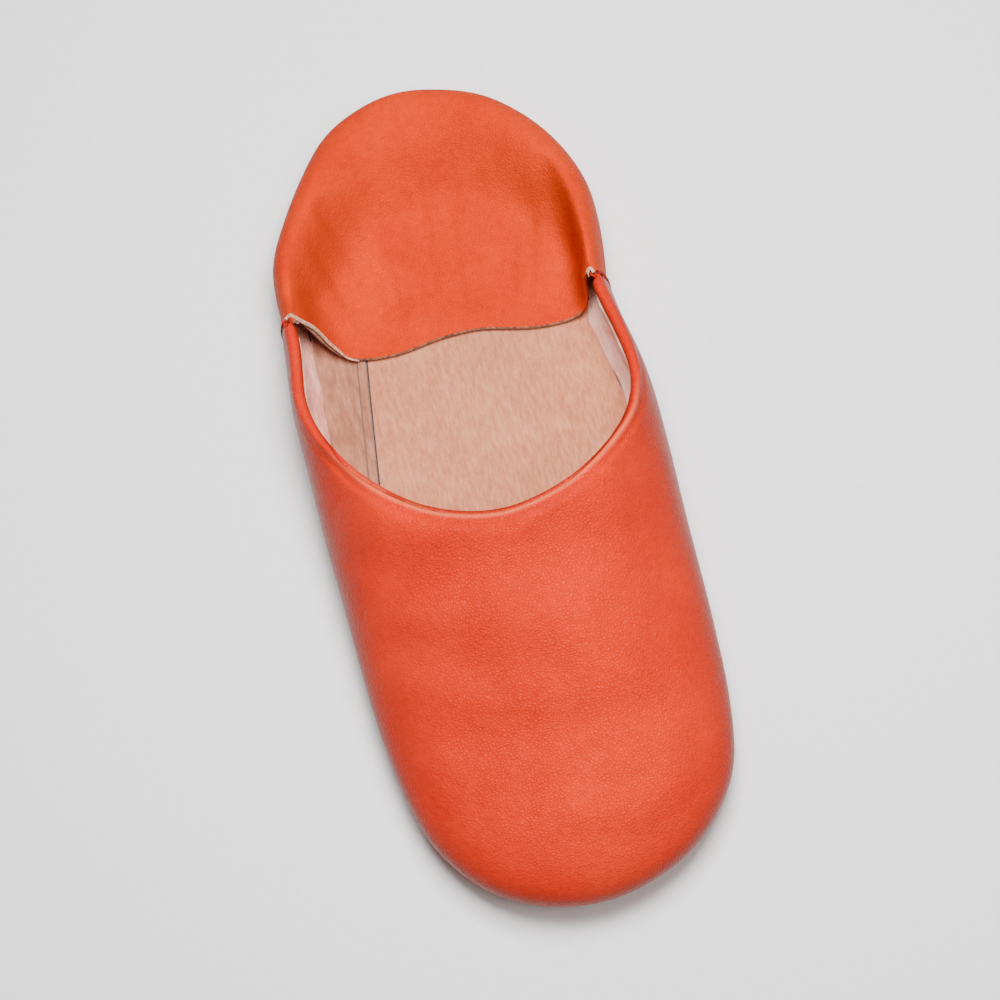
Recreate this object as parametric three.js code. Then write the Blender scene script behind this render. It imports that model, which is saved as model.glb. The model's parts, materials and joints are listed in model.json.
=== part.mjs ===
// A soft leather babouche slipper for the right foot, standing empty with its heel trodden flat.
// Millimetres, +Z up. The toe points to -Y and the heel to +Y, the inner (medial) side of the foot is +X,
// and the origin is on the floor under the middle of the slipper.

import * as THREE from "three";

// Overall sizes
const shoeLength = 250; // outermost, heel to toe
const ballWidth = 104; // outermost, across the upper at the ball of the foot
const instepHeight = 48; // top of the vamp where the throat ends it
const collarHeight = 31; // top of the collar at the side seams
const widestHeight = 12; // where the upper bulges furthest past its sole

// Toe of the last
const toeCapHeight = 24; // top of the rounded toe, where the slope of the vamp takes over
const toeCapLength = 27; // from the tip to there
const toeFullness = 2.2; // 2 is an ellipse, more is squarer
const vampFullness = 2.5; // the same for the arch across the vamp
const slopePower = 1.15; // 1 is a straight slope up to the throat

// Leather
const upperWall = 2.2; // vamp leather and its lining together
const heelLeather = 1.6; // the heel piece is not lined
const rimThickness = 3.8; // collar edge, turned over and padded by its own fold
const rimZone = 7; // how far from the edge the wall starts to thicken
const seamStep = 0.6; // the vamp laps over the heel piece by its own thickness
const seamFade = 14; // over this length the heel piece comes back out to the same line

// Trodden-down heel piece
const heelFoldHeight = 18; // top of the soft fold round the back of the heel
const heelFoldReach = 11; // from the outside to the top of that fold, at the back
const heelFoldSlope = 26; // from the top of the fold down to the insole, at the back
const sideFoldReach = 6; // the same two near the side seams, where the fold is sharp
const medialFoldSlope = 9;
const lateralFoldSlope = 12;
const foldFullness = 2.5;

// Sole
const soleInset = 5.5; // edge of the sole inside the upper's widest line
const outsoleThickness = 3.2;
const soleEdgeRound = 0.7;
const insoleThickness = 1.8;
const lapRise = 0.6; // the side piece of the insole laps over the main sheet
const lapWidth = 2.7;
const archRise = 1.2;
const toeSpring = 4;
const heelSpring = 0.8;
const clearance = 0.3; // between pieces that touch
const insoleEase = 0.5; // round the edge of the insole

// Where things lie along the slipper, as shares of its length from the heel
const heelFlatStart = 0.05;
const archStart = 0.25;
const archEnd = 0.5;
const toeSpringStart = 0.74;

// The join of the insole's two pieces, as shares of half the ball width outwards from the middle: it runs straight
// from one at the heel to the other at the toe, where it has left the insole.
const lapAcrossAtHeel = 0.335;
const lapAcrossAtToe = 1.01;

// Seen from above: the upper's widest line. Shares of the length and of half the ball width.
const outlineRows = [
  { along: 0.0025, lateral: 0.12, medial: 0.125 },
  { along: 0.007, lateral: 0.2, medial: 0.21 },
  { along: 0.02, lateral: 0.36, medial: 0.395 },
  { along: 0.036, lateral: 0.475, medial: 0.53 },
  { along: 0.08, lateral: 0.648, medial: 0.735 },
  { along: 0.13, lateral: 0.8, medial: 0.873 },
  { along: 0.18, lateral: 0.917, medial: 0.943 },
  { along: 0.225, lateral: 0.945, medial: 0.945 },
  { along: 0.27, lateral: 0.957, medial: 0.925 },
  { along: 0.31, lateral: 0.975, medial: 0.908 },
  { along: 0.36, lateral: 1.0, medial: 0.93 },
  { along: 0.42, lateral: 0.998, medial: 0.982 },
  { along: 0.51, lateral: 1.0, medial: 0.99 },
  { along: 0.6, lateral: 0.987, medial: 0.978 },
  { along: 0.68, lateral: 0.98, medial: 0.975 },
  { along: 0.74, lateral: 0.967, medial: 0.967 },
  { along: 0.79, lateral: 0.943, medial: 0.955 },
  { along: 0.851, lateral: 0.892, medial: 0.917 },
  { along: 0.897, lateral: 0.815, medial: 0.853 },
  { along: 0.944, lateral: 0.655, medial: 0.675 },
  { along: 0.967, lateral: 0.525, medial: 0.54 },
  { along: 0.98, lateral: 0.415, medial: 0.425 },
  { along: 0.991, lateral: 0.275, medial: 0.275 },
  { along: 0.9975, lateral: 0.14, medial: 0.14 },
];

// The edge of the vamp round its throat, from the lateral seam to the medial one.
// rise is 0 at the height of the collar and 1 at that of the instep.
const throatRows = [
  { across: -0.914, along: 0.265, rise: 0 },
  { across: -0.92, along: 0.31, rise: 0.08 },
  { across: -0.95, along: 0.348, rise: 0.18 },
  { across: -0.952, along: 0.379, rise: 0.28 },
  { across: -0.915, along: 0.413, rise: 0.41 },
  { across: -0.84, along: 0.446, rise: 0.55 },
  { across: -0.69, along: 0.49, rise: 0.75 },
  { across: -0.45, along: 0.5355, rise: 0.92 },
  { across: -0.21, along: 0.5595, rise: 0.985 },
  { across: 0.02, along: 0.5685, rise: 1 },
  { across: 0.24, along: 0.5635, rise: 0.985 },
  { across: 0.46, along: 0.548, rise: 0.92 },
  { across: 0.69, along: 0.519, rise: 0.78 },
  { across: 0.87, along: 0.48, rise: 0.58 },
  { across: 0.94, along: 0.438, rise: 0.41 },
  { across: 0.927, along: 0.39, rise: 0.24 },
  { across: 0.882, along: 0.335, rise: 0.07 },
  { across: 0.863, along: 0.306, rise: 0 },
];

// The raw edge of the heel piece, from the medial seam down to the insole, over it and up to the lateral one.
// drop is 0 at the height of the collar and 1 where the leather lies on the insole.
const flapRows = [
  { across: 0.863, along: 0.306, drop: 0 },
  { across: 0.808, along: 0.3, drop: 0.03 },
  { across: 0.765, along: 0.297, drop: 0.14 },
  { across: 0.75, along: 0.302, drop: 0.42 },
  { across: 0.745, along: 0.312, drop: 0.72 },
  { across: 0.71, along: 0.32, drop: 0.93 },
  { across: 0.63, along: 0.322, drop: 1 },
  { across: 0.45, along: 0.32, drop: 1 },
  { across: 0.3, along: 0.3125, drop: 1 },
  { across: 0.13, along: 0.3035, drop: 1 },
  { across: 0, along: 0.302, drop: 1 },
  { across: -0.13, along: 0.303, drop: 1 },
  { across: -0.28, along: 0.3075, drop: 1 },
  { across: -0.42, along: 0.308, drop: 1 },
  { across: -0.54, along: 0.3045, drop: 1 },
  { across: -0.64, along: 0.298, drop: 0.93 },
  { across: -0.71, along: 0.284, drop: 0.75 },
  { across: -0.765, along: 0.27, drop: 0.45 },
  { across: -0.81, along: 0.262, drop: 0.16 },
  { across: -0.862, along: 0.26, drop: 0.03 },
  { across: -0.914, along: 0.265, drop: 0 },
];

// How finely the pieces are faceted
const vampColumns = 52;
const heelColumns = 36;
const tuckRows = 4;
const topRows = 14;
const rimRows = 3;
const crestRow = 9; // of the rows above the widest line, the one that runs along the top of the fold
const crestShare = 0.85; // where it runs on a line too short to fold
const crestFade = 30; // it leaves the collar over this length of the vamp
const capSteps = 3;
const soleStations = 40;
const fineSteps = 120;
const shortestLeg = 0.05; // a step along a line shorter than this has no direction worth reading
const bendWeight = 8; // rows gather at bends: a radian counts for as much as this length
const curveDivisions = 900;

const halfLength = shoeLength / 2;
const halfWidth = ballWidth / 2;
const featherHeight = outsoleThickness + clearance;
const insoleBottom = outsoleThickness + clearance;
const flapRest = insoleBottom + insoleThickness + lapRise + clearance + heelLeather;

const alongOf = (y) => 0.5 - y / shoeLength;
const yOf = (along) => (0.5 - along) * shoeLength;
const planPoint = (across, along, z = 0) => new THREE.Vector3(across * halfWidth, yOf(along), z);
const smooth = (share) => THREE.MathUtils.smoothstep(share, 0, 1);
const lerp = THREE.MathUtils.lerp;

/** A quarter of a squared-off ellipse: 1 in the middle, 0 at the edge. */
function arch(share, fullness) {
  return Math.pow(1 - Math.pow(THREE.MathUtils.clamp(share, 0, 1), fullness), 1 / fullness);
}

/** Height of the outsole's underside: flat at heel and forefoot, with arch, toe spring and a touch at the heel. */
function lift(y) {
  const along = alongOf(y);
  if (along < heelFlatStart) return heelSpring * Math.pow((heelFlatStart - along) / heelFlatStart, 2);
  if (along > archStart && along < archEnd) {
    return archRise * Math.pow(Math.sin((Math.PI * (along - archStart)) / (archEnd - archStart)), 2);
  }
  if (along > toeSpringStart) return toeSpring * Math.pow((along - toeSpringStart) / (1 - toeSpringStart), 2);
  return 0;
}

/** A smooth curve through the points, measured by its own length. */
function curveThrough(points, closed) {
  const curve = new THREE.CatmullRomCurve3(points, closed, "centripetal");
  curve.arcLengthDivisions = curveDivisions;
  return curve;
}

const outline = curveThrough(
  [
    planPoint(0, 0),
    ...outlineRows.map((row) => planPoint(-row.lateral, row.along)),
    planPoint(0, 1),
    ...outlineRows.map((row) => planPoint(row.medial, row.along)).reverse(),
  ],
  true,
);
const collarRise = instepHeight - collarHeight;
const throat = curveThrough(
  throatRows.map((row) => planPoint(row.across, row.along, collarHeight + collarRise * row.rise)),
  false,
);
const flapEdge = curveThrough(
  flapRows.map((row) => planPoint(row.across, row.along, lerp(collarHeight, flapRest, row.drop))),
  false,
);

/** The direction into the slipper from a point of the outline, seen from above. */
function inwardAt(share) {
  const tangent = outline.getTangentAt(share);
  return new THREE.Vector3(-tangent.y, tangent.x, 0).normalize();
}

/** The outline moved inwards, as a closed list of points from the heel down the lateral side and back. */
function insetOutline(inset) {
  const points = [];
  for (let i = 0; i < curveDivisions; i++) {
    const share = i / curveDivisions;
    points.push(outline.getPointAt(share).addScaledVector(inwardAt(share), inset));
  }
  return points;
}

/** Where a crosswise line at y meets a closed plan, as its lateral and medial x. */
function crossing(points, y) {
  let lateral = Infinity;
  let medial = -Infinity;
  points.forEach((a, i) => {
    const b = points[(i + 1) % points.length];
    if (a.y > y === b.y > y) return;
    const x = lerp(a.x, b.x, (y - a.y) / (b.y - a.y));
    lateral = Math.min(lateral, x);
    medial = Math.max(medial, x);
  });
  return { lateral, medial };
}

const widestLine = insetOutline(0);

/** Share of the outline's length at which it passes the given y, between two shares of it. */
function outlineShareAt(y, from, to) {
  const startsAbove = outline.getPointAt(from).y > y;
  let low = from;
  let high = to;
  while (high - low > 1e-6) {
    const middle = (low + high) / 2;
    if (outline.getPointAt(middle).y > y === startsAbove) low = middle;
    else high = middle;
  }
  return low;
}

const outlineLength = outline.getLength();
const toeShare = widestLine.reduce((best, p, i) => (p.y < widestLine[best].y ? i : best), 0) / curveDivisions;
const lateralSeam = outlineShareAt(yOf(throatRows[0].along), 0, toeShare);
const medialSeam = outlineShareAt(yOf(throatRows.at(-1).along), toeShare, 1);

/** Height of the last above its widest line, along the top of the foot. */
function ridgeRise(y) {
  const fromToe = Math.max(0, y + halfLength);
  const throatFromToe = halfLength + yOf(Math.max(...throatRows.map((row) => row.along)));
  const cap = (toeCapHeight - widestHeight) * arch(1 - fromToe / toeCapLength, toeFullness);
  const slope = (instepHeight - toeCapHeight) * Math.pow(fromToe / throatFromToe, slopePower);
  return cap + slope;
}

/** Height of the last's surface above its widest line at a point of the plan. */
function lastRise(point) {
  const { lateral, medial } = crossing(widestLine, point.y);
  const middle = (lateral + medial) / 2;
  return ridgeRise(point.y) * arch(Math.abs(point.x - middle) / ((medial - lateral) / 2), vampFullness);
}

/** Height of the trodden heel piece at a distance along its line, which ends at the raw edge. */
function foldHeight(distance, total, edge, fold) {
  const rise = (d) => arch(1 - d / fold.reach, foldFullness);
  if (total <= fold.reach) return lerp(widestHeight, edge, rise(distance) / rise(total));
  if (distance <= fold.reach) return lerp(widestHeight, fold.height, rise(distance));
  return lerp(fold.height, edge, smooth((distance - fold.reach) / Math.min(fold.slope, total - fold.reach)));
}

/** The fold at a share of the way from a side seam to the back of the heel. */
function foldAt(backShare, medialSide) {
  const back = smooth(backShare);
  return {
    height: lerp(collarHeight, heelFoldHeight, back),
    reach: lerp(sideFoldReach, heelFoldReach, back),
    slope: lerp(medialSide ? medialFoldSlope : lateralFoldSlope, heelFoldSlope, back),
  };
}

/** The upper's curl under its widest line, down to the sole, from the edge up. */
function tuckPoints(foot, inward) {
  const points = [];
  const last = (80 * Math.PI) / 180;
  for (let i = 0; i < tuckRows * 4; i++) {
    const angle = last * (1 - i / (tuckRows * 4));
    const inset = (soleInset * (1 - Math.cos(angle))) / (1 - Math.cos(last));
    const drop = ((widestHeight - featherHeight) * Math.sin(angle)) / Math.sin(last);
    points.push(foot.clone().addScaledVector(inward, inset).setZ(widestHeight - drop));
  }
  return points;
}

/** Share of an inner edge that a share of the outline leads to: quicker near the seams, slower in the middle. */
function gathered(share, outerLength, innerLength) {
  const power = 4;
  const gather = (outerLength / innerLength - 1) / (power - 1);
  const toMiddle = 1 - Math.abs(2 * share - 1);
  const half = lerp(toMiddle, 1 - Math.pow(1 - toMiddle, power), gather) / 2;
  return share < 0.5 ? half : 1 - half;
}

/** Positions of the rows on a line, counted in its points: closer at bends, and closer again at the edge. */
function rowPositions(points, crest) {
  const travelled = [0];
  const weighed = [0];
  for (let i = 1; i < points.length; i++) {
    const leg = points[i].clone().sub(points[i - 1]);
    const before = points[i - 1].clone().sub(points[Math.max(0, i - 2)]);
    const bend = Math.min(leg.length(), before.length()) > shortestLeg ? leg.angleTo(before) : 0;
    travelled.push(travelled[i - 1] + leg.length());
    weighed.push(weighed[i - 1] + leg.length() + bendWeight * bend);
  }
  const total = travelled.at(-1);
  const evenly = (weighed.at(-1) * crestRow) / (topRows + rimRows);
  const crestWeight = lerp(evenly, valueAt(weighed, crest.position), crest.share);
  const afterCrest = total - valueAt(travelled, positionOf(weighed, crestWeight));
  const zone = Math.min(rimZone, afterCrest / 2);
  const rimWeight = valueAt(weighed, positionOf(travelled, total - zone));
  const positions = [];
  for (let i = 1; i <= crestRow; i++) positions.push(positionOf(weighed, (crestWeight * i) / crestRow));
  for (let i = crestRow + 1; i <= topRows; i++) {
    const share = (i - crestRow) / (topRows - crestRow);
    positions.push(positionOf(weighed, lerp(crestWeight, rimWeight, share)));
  }
  for (let i = 1; i <= rimRows; i++) positions.push(positionOf(travelled, total - zone + (zone * i) / rimRows));
  return positions;
}

/** Where a rising list passes a value, counted in its entries. */
function positionOf(list, value) {
  const after = list.findIndex((entry) => entry >= value);
  const i = after < 0 ? list.length - 1 : Math.max(1, after);
  return i - 1 + THREE.MathUtils.clamp((value - list[i - 1]) / (list[i] - list[i - 1]), 0, 1);
}

/** Value of a list at a position counted in its entries. */
function valueAt(list, position) {
  const i = Math.min(list.length - 2, Math.floor(position));
  return lerp(list[i], list[i + 1], position - i);
}

/** Point of a line at a position counted in its points. */
function pointAt(points, position) {
  const i = Math.min(points.length - 2, Math.floor(position));
  return points[i].clone().lerp(points[i + 1], position - i);
}

/** One line up the upper, from the sole's edge over the widest line and along a way in plan to the inner edge. */
function meridian(foot, inward, path, heightAt, crestReach, crestHold) {
  const tuck = [...tuckPoints(foot, inward), foot.clone().setZ(widestHeight)];
  const plan = Array.from({ length: fineSteps + 1 }, (_, i) => path.getPoint(Math.pow(i / fineSteps, 2)));
  const distances = [0];
  for (let i = 1; i <= fineSteps; i++) distances.push(distances[i - 1] + plan[i].distanceTo(plan[i - 1]));
  const total = distances.at(-1);
  const top = plan.map((p, i) => p.clone().setZ(i ? heightAt(p, distances[i], total) : widestHeight));
  const tuckStep = (tuck.length - 1) / tuckRows;
  const tucked = Array.from({ length: tuckRows + 1 }, (_, i) => pointAt(tuck, i * tuckStep));
  const crest = { position: positionOf(distances, Math.min(crestReach, total * crestShare)), share: crestHold };
  return [...tucked, ...rowPositions(top, crest).map((position) => pointAt(top, position))];
}

/** Lines up the vamp, from the lateral seam round the toe to the medial one. */
function vampMeridians() {
  const lines = [];
  const vampArc = (medialSeam - lateralSeam) * outlineLength;
  for (let i = 0; i <= vampColumns; i++) {
    const share = i / vampColumns;
    const at = lerp(lateralSeam, medialSeam, share);
    const foot = outline.getPointAt(at);
    const inward = inwardAt(at);
    const throatShare = gathered(share, vampArc, throat.getLength());
    const rim = throat.getPointAt(throatShare);
    const tangent = throat.getTangentAt(throatShare).setZ(0).normalize();
    const squarely = new THREE.Vector3(-tangent.y, tangent.x, 0);
    const end = rim.clone().setZ(0);
    const way = end.clone().sub(foot);
    const leaving = foot.clone().addScaledVector(inward, way.dot(inward) / 3);
    const arriving = end.clone().addScaledVector(squarely, -way.dot(squarely) / 3);
    const path = new THREE.CubicBezierCurve3(foot, leaving, arriving, end);
    const fit = (rim.z - widestHeight) / lastRise(rim);
    const heightAt = (p) => widestHeight + lastRise(p) * fit;
    const hold = 1 - smooth((Math.min(share, 1 - share) * vampArc) / crestFade);
    lines.push({ points: meridian(foot, inward, path, heightAt, Infinity, hold), inward });
  }
  return lines;
}

/** Lines up the heel piece, from the medial seam round the back to the lateral one. */
function heelMeridians() {
  const lines = [];
  const heelShare = 1 - medialSeam + lateralSeam;
  const heelArc = heelShare * outlineLength;
  for (let i = 0; i <= heelColumns; i++) {
    // The lines stand closer near the seams, where the fold turns sharply.
    const share = lerp(i / heelColumns, (1 - Math.cos((Math.PI * i) / heelColumns)) / 2, 0.5);
    const at = (medialSeam + heelShare * share) % 1;
    const foot = outline.getPointAt(at);
    const inward = inwardAt(at);
    const edge = flapEdge.getPointAt(gathered(share, heelArc, flapEdge.getLength()));
    const end = edge.clone().setZ(0);
    const backShare = 1 - Math.abs(2 * share - 1);
    const fold = foldAt(backShare, share < 0.5);
    const leaving = foot.clone().addScaledVector(inward, foot.distanceTo(end) * 0.4);
    const path = new THREE.QuadraticBezierCurve3(foot, leaving, end);
    const heightAt = (p, distance, total) => foldHeight(distance, total, edge.z, fold);
    const inset = seamStep * (1 - smooth((backShare * heelArc) / 2 / seamFade));
    lines.push({ points: meridian(foot, inward, path, heightAt, fold.reach, 1), inward, inset });
  }
  return lines;
}

/** Closed surface through rings of equal count, the last joined to the first. */
function ringMesh(rings, closed) {
  const size = rings[0].length;
  const positions = rings.flat().flatMap((p) => [p.x, p.y, p.z]);
  const index = [];
  const bands = closed ? rings.length : rings.length - 1;
  for (let i = 0; i < bands; i++) {
    const next = (i + 1) % rings.length;
    for (let j = 0; j < size; j++) {
      const over = (j + 1) % size;
      const [a, b, c, d] = [i * size + j, i * size + over, next * size + over, next * size + j];
      index.push(a, b, c, a, c, d);
    }
  }
  if (!closed) {
    const flat = (ring) => ring.map((p) => new THREE.Vector2(p.x, p.z));
    const last = (rings.length - 1) * size;
    const clockwise = THREE.ShapeUtils.isClockWise(flat(rings[0]));
    for (const [a, b, c] of THREE.ShapeUtils.triangulateShape(flat(rings[0]), [])) {
      index.push(...(clockwise ? [a, b, c] : [a, c, b]));
    }
    for (const [a, b, c] of THREE.ShapeUtils.triangulateShape(flat(rings.at(-1)), [])) {
      index.push(...(clockwise ? [last + a, last + c, last + b] : [last + a, last + b, last + c]));
    }
  }
  return solidOf(positions, index);
}

/** A geometry whose faces point outwards, whichever way its faces were listed. */
function solidOf(positions, index) {
  const corner = (i) => new THREE.Vector3().fromArray(positions, index[i] * 3);
  let volume = 0;
  for (let i = 0; i < index.length; i += 3) volume += corner(i).dot(corner(i + 1).cross(corner(i + 2)));
  if (volume < 0) for (let i = 0; i < index.length; i += 3) [index[i], index[i + 1]] = [index[i + 1], index[i]];
  const geometry = new THREE.BufferGeometry();
  geometry.setAttribute("position", new THREE.Float32BufferAttribute(positions, 3));
  geometry.setIndex(index);
  geometry.computeVertexNormals();
  return geometry;
}

/** The upper: one sheet of leather all round, closed into a ring, with its wall and its rounded inner edge. */
function upperGeometry() {
  const vamp = vampMeridians();
  const heel = heelMeridians();
  // Neighbours across a seam are moved apart a little, so that the step between them has a width.
  const lines = [...vamp, ...heel];
  const seamGap = 0.4;
  for (const [line, way] of [[vamp[0], 1], [vamp.at(-1), -1], [heel[0], 1], [heel.at(-1), -1]]) {
    const along = new THREE.Vector3(-line.inward.y, line.inward.x, 0).multiplyScalar(-way * seamGap);
    line.points.forEach((p) => p.add(along));
  }
  const rings = lines.map((line, i) => {
    const isVamp = i < vamp.length;
    const rows = line.points.length;
    const outer = [];
    const inner = [];
    const lengthToEdge = new Array(rows).fill(0);
    for (let j = rows - 2; j >= 0; j--) {
      lengthToEdge[j] = lengthToEdge[j + 1] + line.points[j].distanceTo(line.points[j + 1]);
    }
    for (let j = 0; j < rows; j++) {
      const normal = normalAt(lines, i, j, vamp.length);
      const outerPoint = line.points[j].clone().addScaledVector(normal, -(line.inset ?? 0));
      const bead = isVamp ? (rimThickness - upperWall) * smooth(1 - lengthToEdge[j] / rimZone) : 0;
      const wall = (isVamp ? upperWall : heelLeather) + bead;
      const innerPoint = outerPoint.clone();
      if (j === 0) innerPoint.addScaledVector(line.inward, wall);
      else innerPoint.addScaledVector(normal, -wall);
      outer.push(outerPoint);
      inner.push(innerPoint);
    }
    const middle = outer.at(-1).clone().lerp(inner.at(-1), 0.5);
    const across = outer.at(-1).clone().sub(middle);
    const onward = line.points.at(-1).clone().sub(line.points.at(-2)).normalize().multiplyScalar(across.length());
    const cap = [];
    for (let k = 1; k <= capSteps; k++) {
      const angle = (Math.PI * k) / (capSteps + 1);
      cap.push(middle.clone().addScaledVector(across, Math.cos(angle)).addScaledVector(onward, Math.sin(angle)));
    }
    return [...outer, ...cap, ...inner.reverse()].map((p) => p.setZ(p.z + lift(p.y)));
  });
  return ringMesh(rings, true);
}

/** Outward direction of the sheet at a row of a line, from its neighbours in the same piece of leather. */
function normalAt(lines, i, j, vampCount) {
  const first = i < vampCount ? 0 : vampCount;
  const last = i < vampCount ? vampCount - 1 : lines.length - 1;
  const around = lines[Math.min(last, i + 1)].points[j].clone().sub(lines[Math.max(first, i - 1)].points[j]);
  const points = lines[i].points;
  const up = points[Math.min(points.length - 1, j + 1)].clone().sub(points[Math.max(0, j - 1)]);
  return around.cross(up).normalize();
}

/** A flat piece that follows the sole line, through levels that each have an inset and a height. */
function soleGeometry(levels) {
  const positions = [];
  const size = soleStations * 2;
  for (const { inset, height } of levels) {
    const plan = insetOutline(inset);
    const heelEnd = Math.max(...plan.map((p) => p.y));
    const toeEnd = Math.min(...plan.map((p) => p.y));
    const stations = Array.from({ length: soleStations + 1 }, (_, i) =>
      lerp(heelEnd, toeEnd, (1 - Math.cos((Math.PI * i) / soleStations)) / 2),
    );
    const tip = (y) => plan.reduce((best, p) => (Math.abs(p.y - y) < Math.abs(best.y - y) ? p : best)).x;
    const spans = stations.slice(1, -1).map((y) => ({ y, ...crossing(plan, y) }));
    const ring = [
      { x: tip(heelEnd), y: heelEnd },
      ...spans.map(({ lateral, y }) => ({ x: lateral, y })),
      { x: tip(toeEnd), y: toeEnd },
      ...spans.map(({ medial, y }) => ({ x: medial, y })).reverse(),
    ];
    ring.forEach(({ x, y }) => positions.push(x, y, height + lift(y)));
  }
  const index = [];
  for (let level = 0; level + 1 < levels.length; level++) {
    for (let j = 0; j < size; j++) {
      const [a, b] = [level * size + j, level * size + ((j + 1) % size)];
      index.push(a, b, b + size, a, b + size, a + size);
    }
  }
  for (const [base, flip] of [[0, true], [(levels.length - 1) * size, false]]) {
    for (let i = 0; i < soleStations; i++) {
      const [a, b] = [i, i + 1];
      const [c, d] = [size - i - 1, (size - i) % size];
      for (const face of [[a, b, c], [a, c, d]]) {
        if (new Set(face).size < 3) continue;
        index.push(...(flip ? face.reverse() : face).map((k) => base + k));
      }
    }
  }
  return solidOf(positions, index);
}

/** x of the join between the two pieces of the insole: the main sheet's edge of the raised lap. */
function lapLine(y) {
  return -halfWidth * lerp(lapAcrossAtHeel, lapAcrossAtToe, alongOf(y));
}

/** A piece of the insole: sections across it at stations along it, where it is wide enough to cut. */
function insolePiece(sectionAt) {
  const plan = insetOutline(soleInset + upperWall + insoleEase);
  const heelEnd = Math.max(...plan.map((p) => p.y));
  const toeEnd = Math.min(...plan.map((p) => p.y));
  const rings = [];
  for (let i = 1; i < soleStations; i++) {
    const y = lerp(heelEnd, toeEnd, (1 - Math.cos((Math.PI * i) / soleStations)) / 2);
    const section = sectionAt(crossing(plan, y), lapLine(y));
    if (section) rings.push(section.map(([x, z]) => new THREE.Vector3(x, y, insoleBottom + z + lift(y))));
  }
  return ringMesh(rings, false);
}

/** The main sheet: from the join, or the insole's own edge, to the medial side. */
function mainInsoleSection({ lateral, medial }, lap) {
  const start = Math.max(lateral, lap + clearance);
  return [[start, 0], [medial, 0], [medial, insoleThickness], [start, insoleThickness]];
}

/** The side piece: flat, with a raised lap along the join. */
function sidePieceSection({ lateral }, lap) {
  const step = lap - lapWidth;
  const narrowest = 1;
  if (step - lateral < narrowest) return null;
  const top = insoleThickness + lapRise;
  return [[lateral, 0], [lap, 0], [lap, top], [step, top], [step, insoleThickness], [lateral, insoleThickness]];
}

/** A named mesh in its material. */
function piece(name, geometry, color, roughness) {
  const mesh = new THREE.Mesh(geometry, new THREE.MeshStandardMaterial({ color, roughness, metalness: 0 }));
  mesh.name = name;
  return mesh;
}

const outsoleLevels = [
  { inset: soleInset + soleEdgeRound, height: 0 },
  { inset: soleInset, height: soleEdgeRound },
  { inset: soleInset, height: outsoleThickness - soleEdgeRound },
  { inset: soleInset + soleEdgeRound, height: outsoleThickness },
];

const slipper = new THREE.Group();
slipper.add(
  piece("outsole", soleGeometry(outsoleLevels), 0xb58a60, 0.8),
  piece("insole", insolePiece(mainInsoleSection), 0xcfab98, 0.95),
  piece("insole_side_piece", insolePiece(sidePieceSection), 0xc9a18e, 0.95),
  piece("upper", upperGeometry(), 0xdf5c34, 0.5),
);

export default slipper;
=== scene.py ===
"""A right babouche slipper in orange-red leather, dressed over its CAD frame.

The slipper has four parts: the upper (vamp, lining and trodden heel leather), the two side seams,
the suede insole in two pieces, and the outsole with its sewn channel. All sizes are in millimetres
and in the frame of the CAD model: toe towards -Y, heel towards +Y, inner side of the foot towards
+X, up +Z.
"""

import json
import logging
import math
from dataclasses import dataclass
from enum import Enum
from typing import Optional, Sequence

import bpy
from mathutils import Matrix, Vector
from mathutils.kdtree import KDTree

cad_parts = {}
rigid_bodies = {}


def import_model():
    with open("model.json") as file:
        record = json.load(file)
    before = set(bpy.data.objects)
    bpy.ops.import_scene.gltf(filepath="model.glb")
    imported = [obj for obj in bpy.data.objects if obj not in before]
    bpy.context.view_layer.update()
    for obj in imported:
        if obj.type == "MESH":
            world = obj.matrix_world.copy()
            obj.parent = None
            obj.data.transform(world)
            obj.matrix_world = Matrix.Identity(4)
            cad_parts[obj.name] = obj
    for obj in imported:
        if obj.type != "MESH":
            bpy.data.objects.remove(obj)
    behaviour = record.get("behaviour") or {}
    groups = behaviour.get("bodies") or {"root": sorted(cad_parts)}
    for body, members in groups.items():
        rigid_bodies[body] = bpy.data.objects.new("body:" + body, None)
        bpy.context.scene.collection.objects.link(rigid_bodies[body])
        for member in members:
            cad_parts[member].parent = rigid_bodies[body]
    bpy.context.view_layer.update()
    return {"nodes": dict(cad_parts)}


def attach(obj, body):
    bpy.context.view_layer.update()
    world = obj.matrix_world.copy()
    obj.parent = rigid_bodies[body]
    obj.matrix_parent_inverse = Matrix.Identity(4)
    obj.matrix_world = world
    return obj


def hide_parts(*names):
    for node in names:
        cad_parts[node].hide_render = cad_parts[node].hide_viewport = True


MM = 0.001
MERGE_DISTANCE = 1e-6
UP = Vector((0.0, 0.0, 1.0))
LOG = logging.getLogger("babouche")

# Numbers of a Mix node's sockets for colours, and of a Math node's inputs.
FACTOR, COLOUR_A, COLOUR_B = 0, 6, 7
FIRST, SECOND, THIRD = 0, 1, 2
# Which output of a node feeds the next one, where it isn't the first.
MAIN_OUTPUT = {"ShaderNodeMix": 2, "ShaderNodeAttribute": 2, "ShaderNodeTexWave": 1, "ShaderNodeTexCoord": 3}
BLEND = {"data_type": "RGBA"}
MULTIPLY = {"data_type": "RGBA", "blend_type": "MULTIPLY", FACTOR: 1.0}
# A wave texture runs through this many radians in one unit of its scale.
WAVE_RADIANS = 20.0

Piece = bpy.types.Object
Node = bpy.types.Node
Tree = bpy.types.NodeTree
Point = tuple[float, float, float]
Span = tuple[float, float]


class Side(Enum):
    """The two sides of the right foot, as the sign of x."""

    LATERAL = -1
    MEDIAL = 1


class Slot(Enum):
    """Material slots of the part's record."""

    UPPER = "upper_leather"
    INSOLE = "insole_suede"
    LINING = "lining_suede"
    OUTSOLE = "outsole_leather"
    THREAD = "thread"


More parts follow.
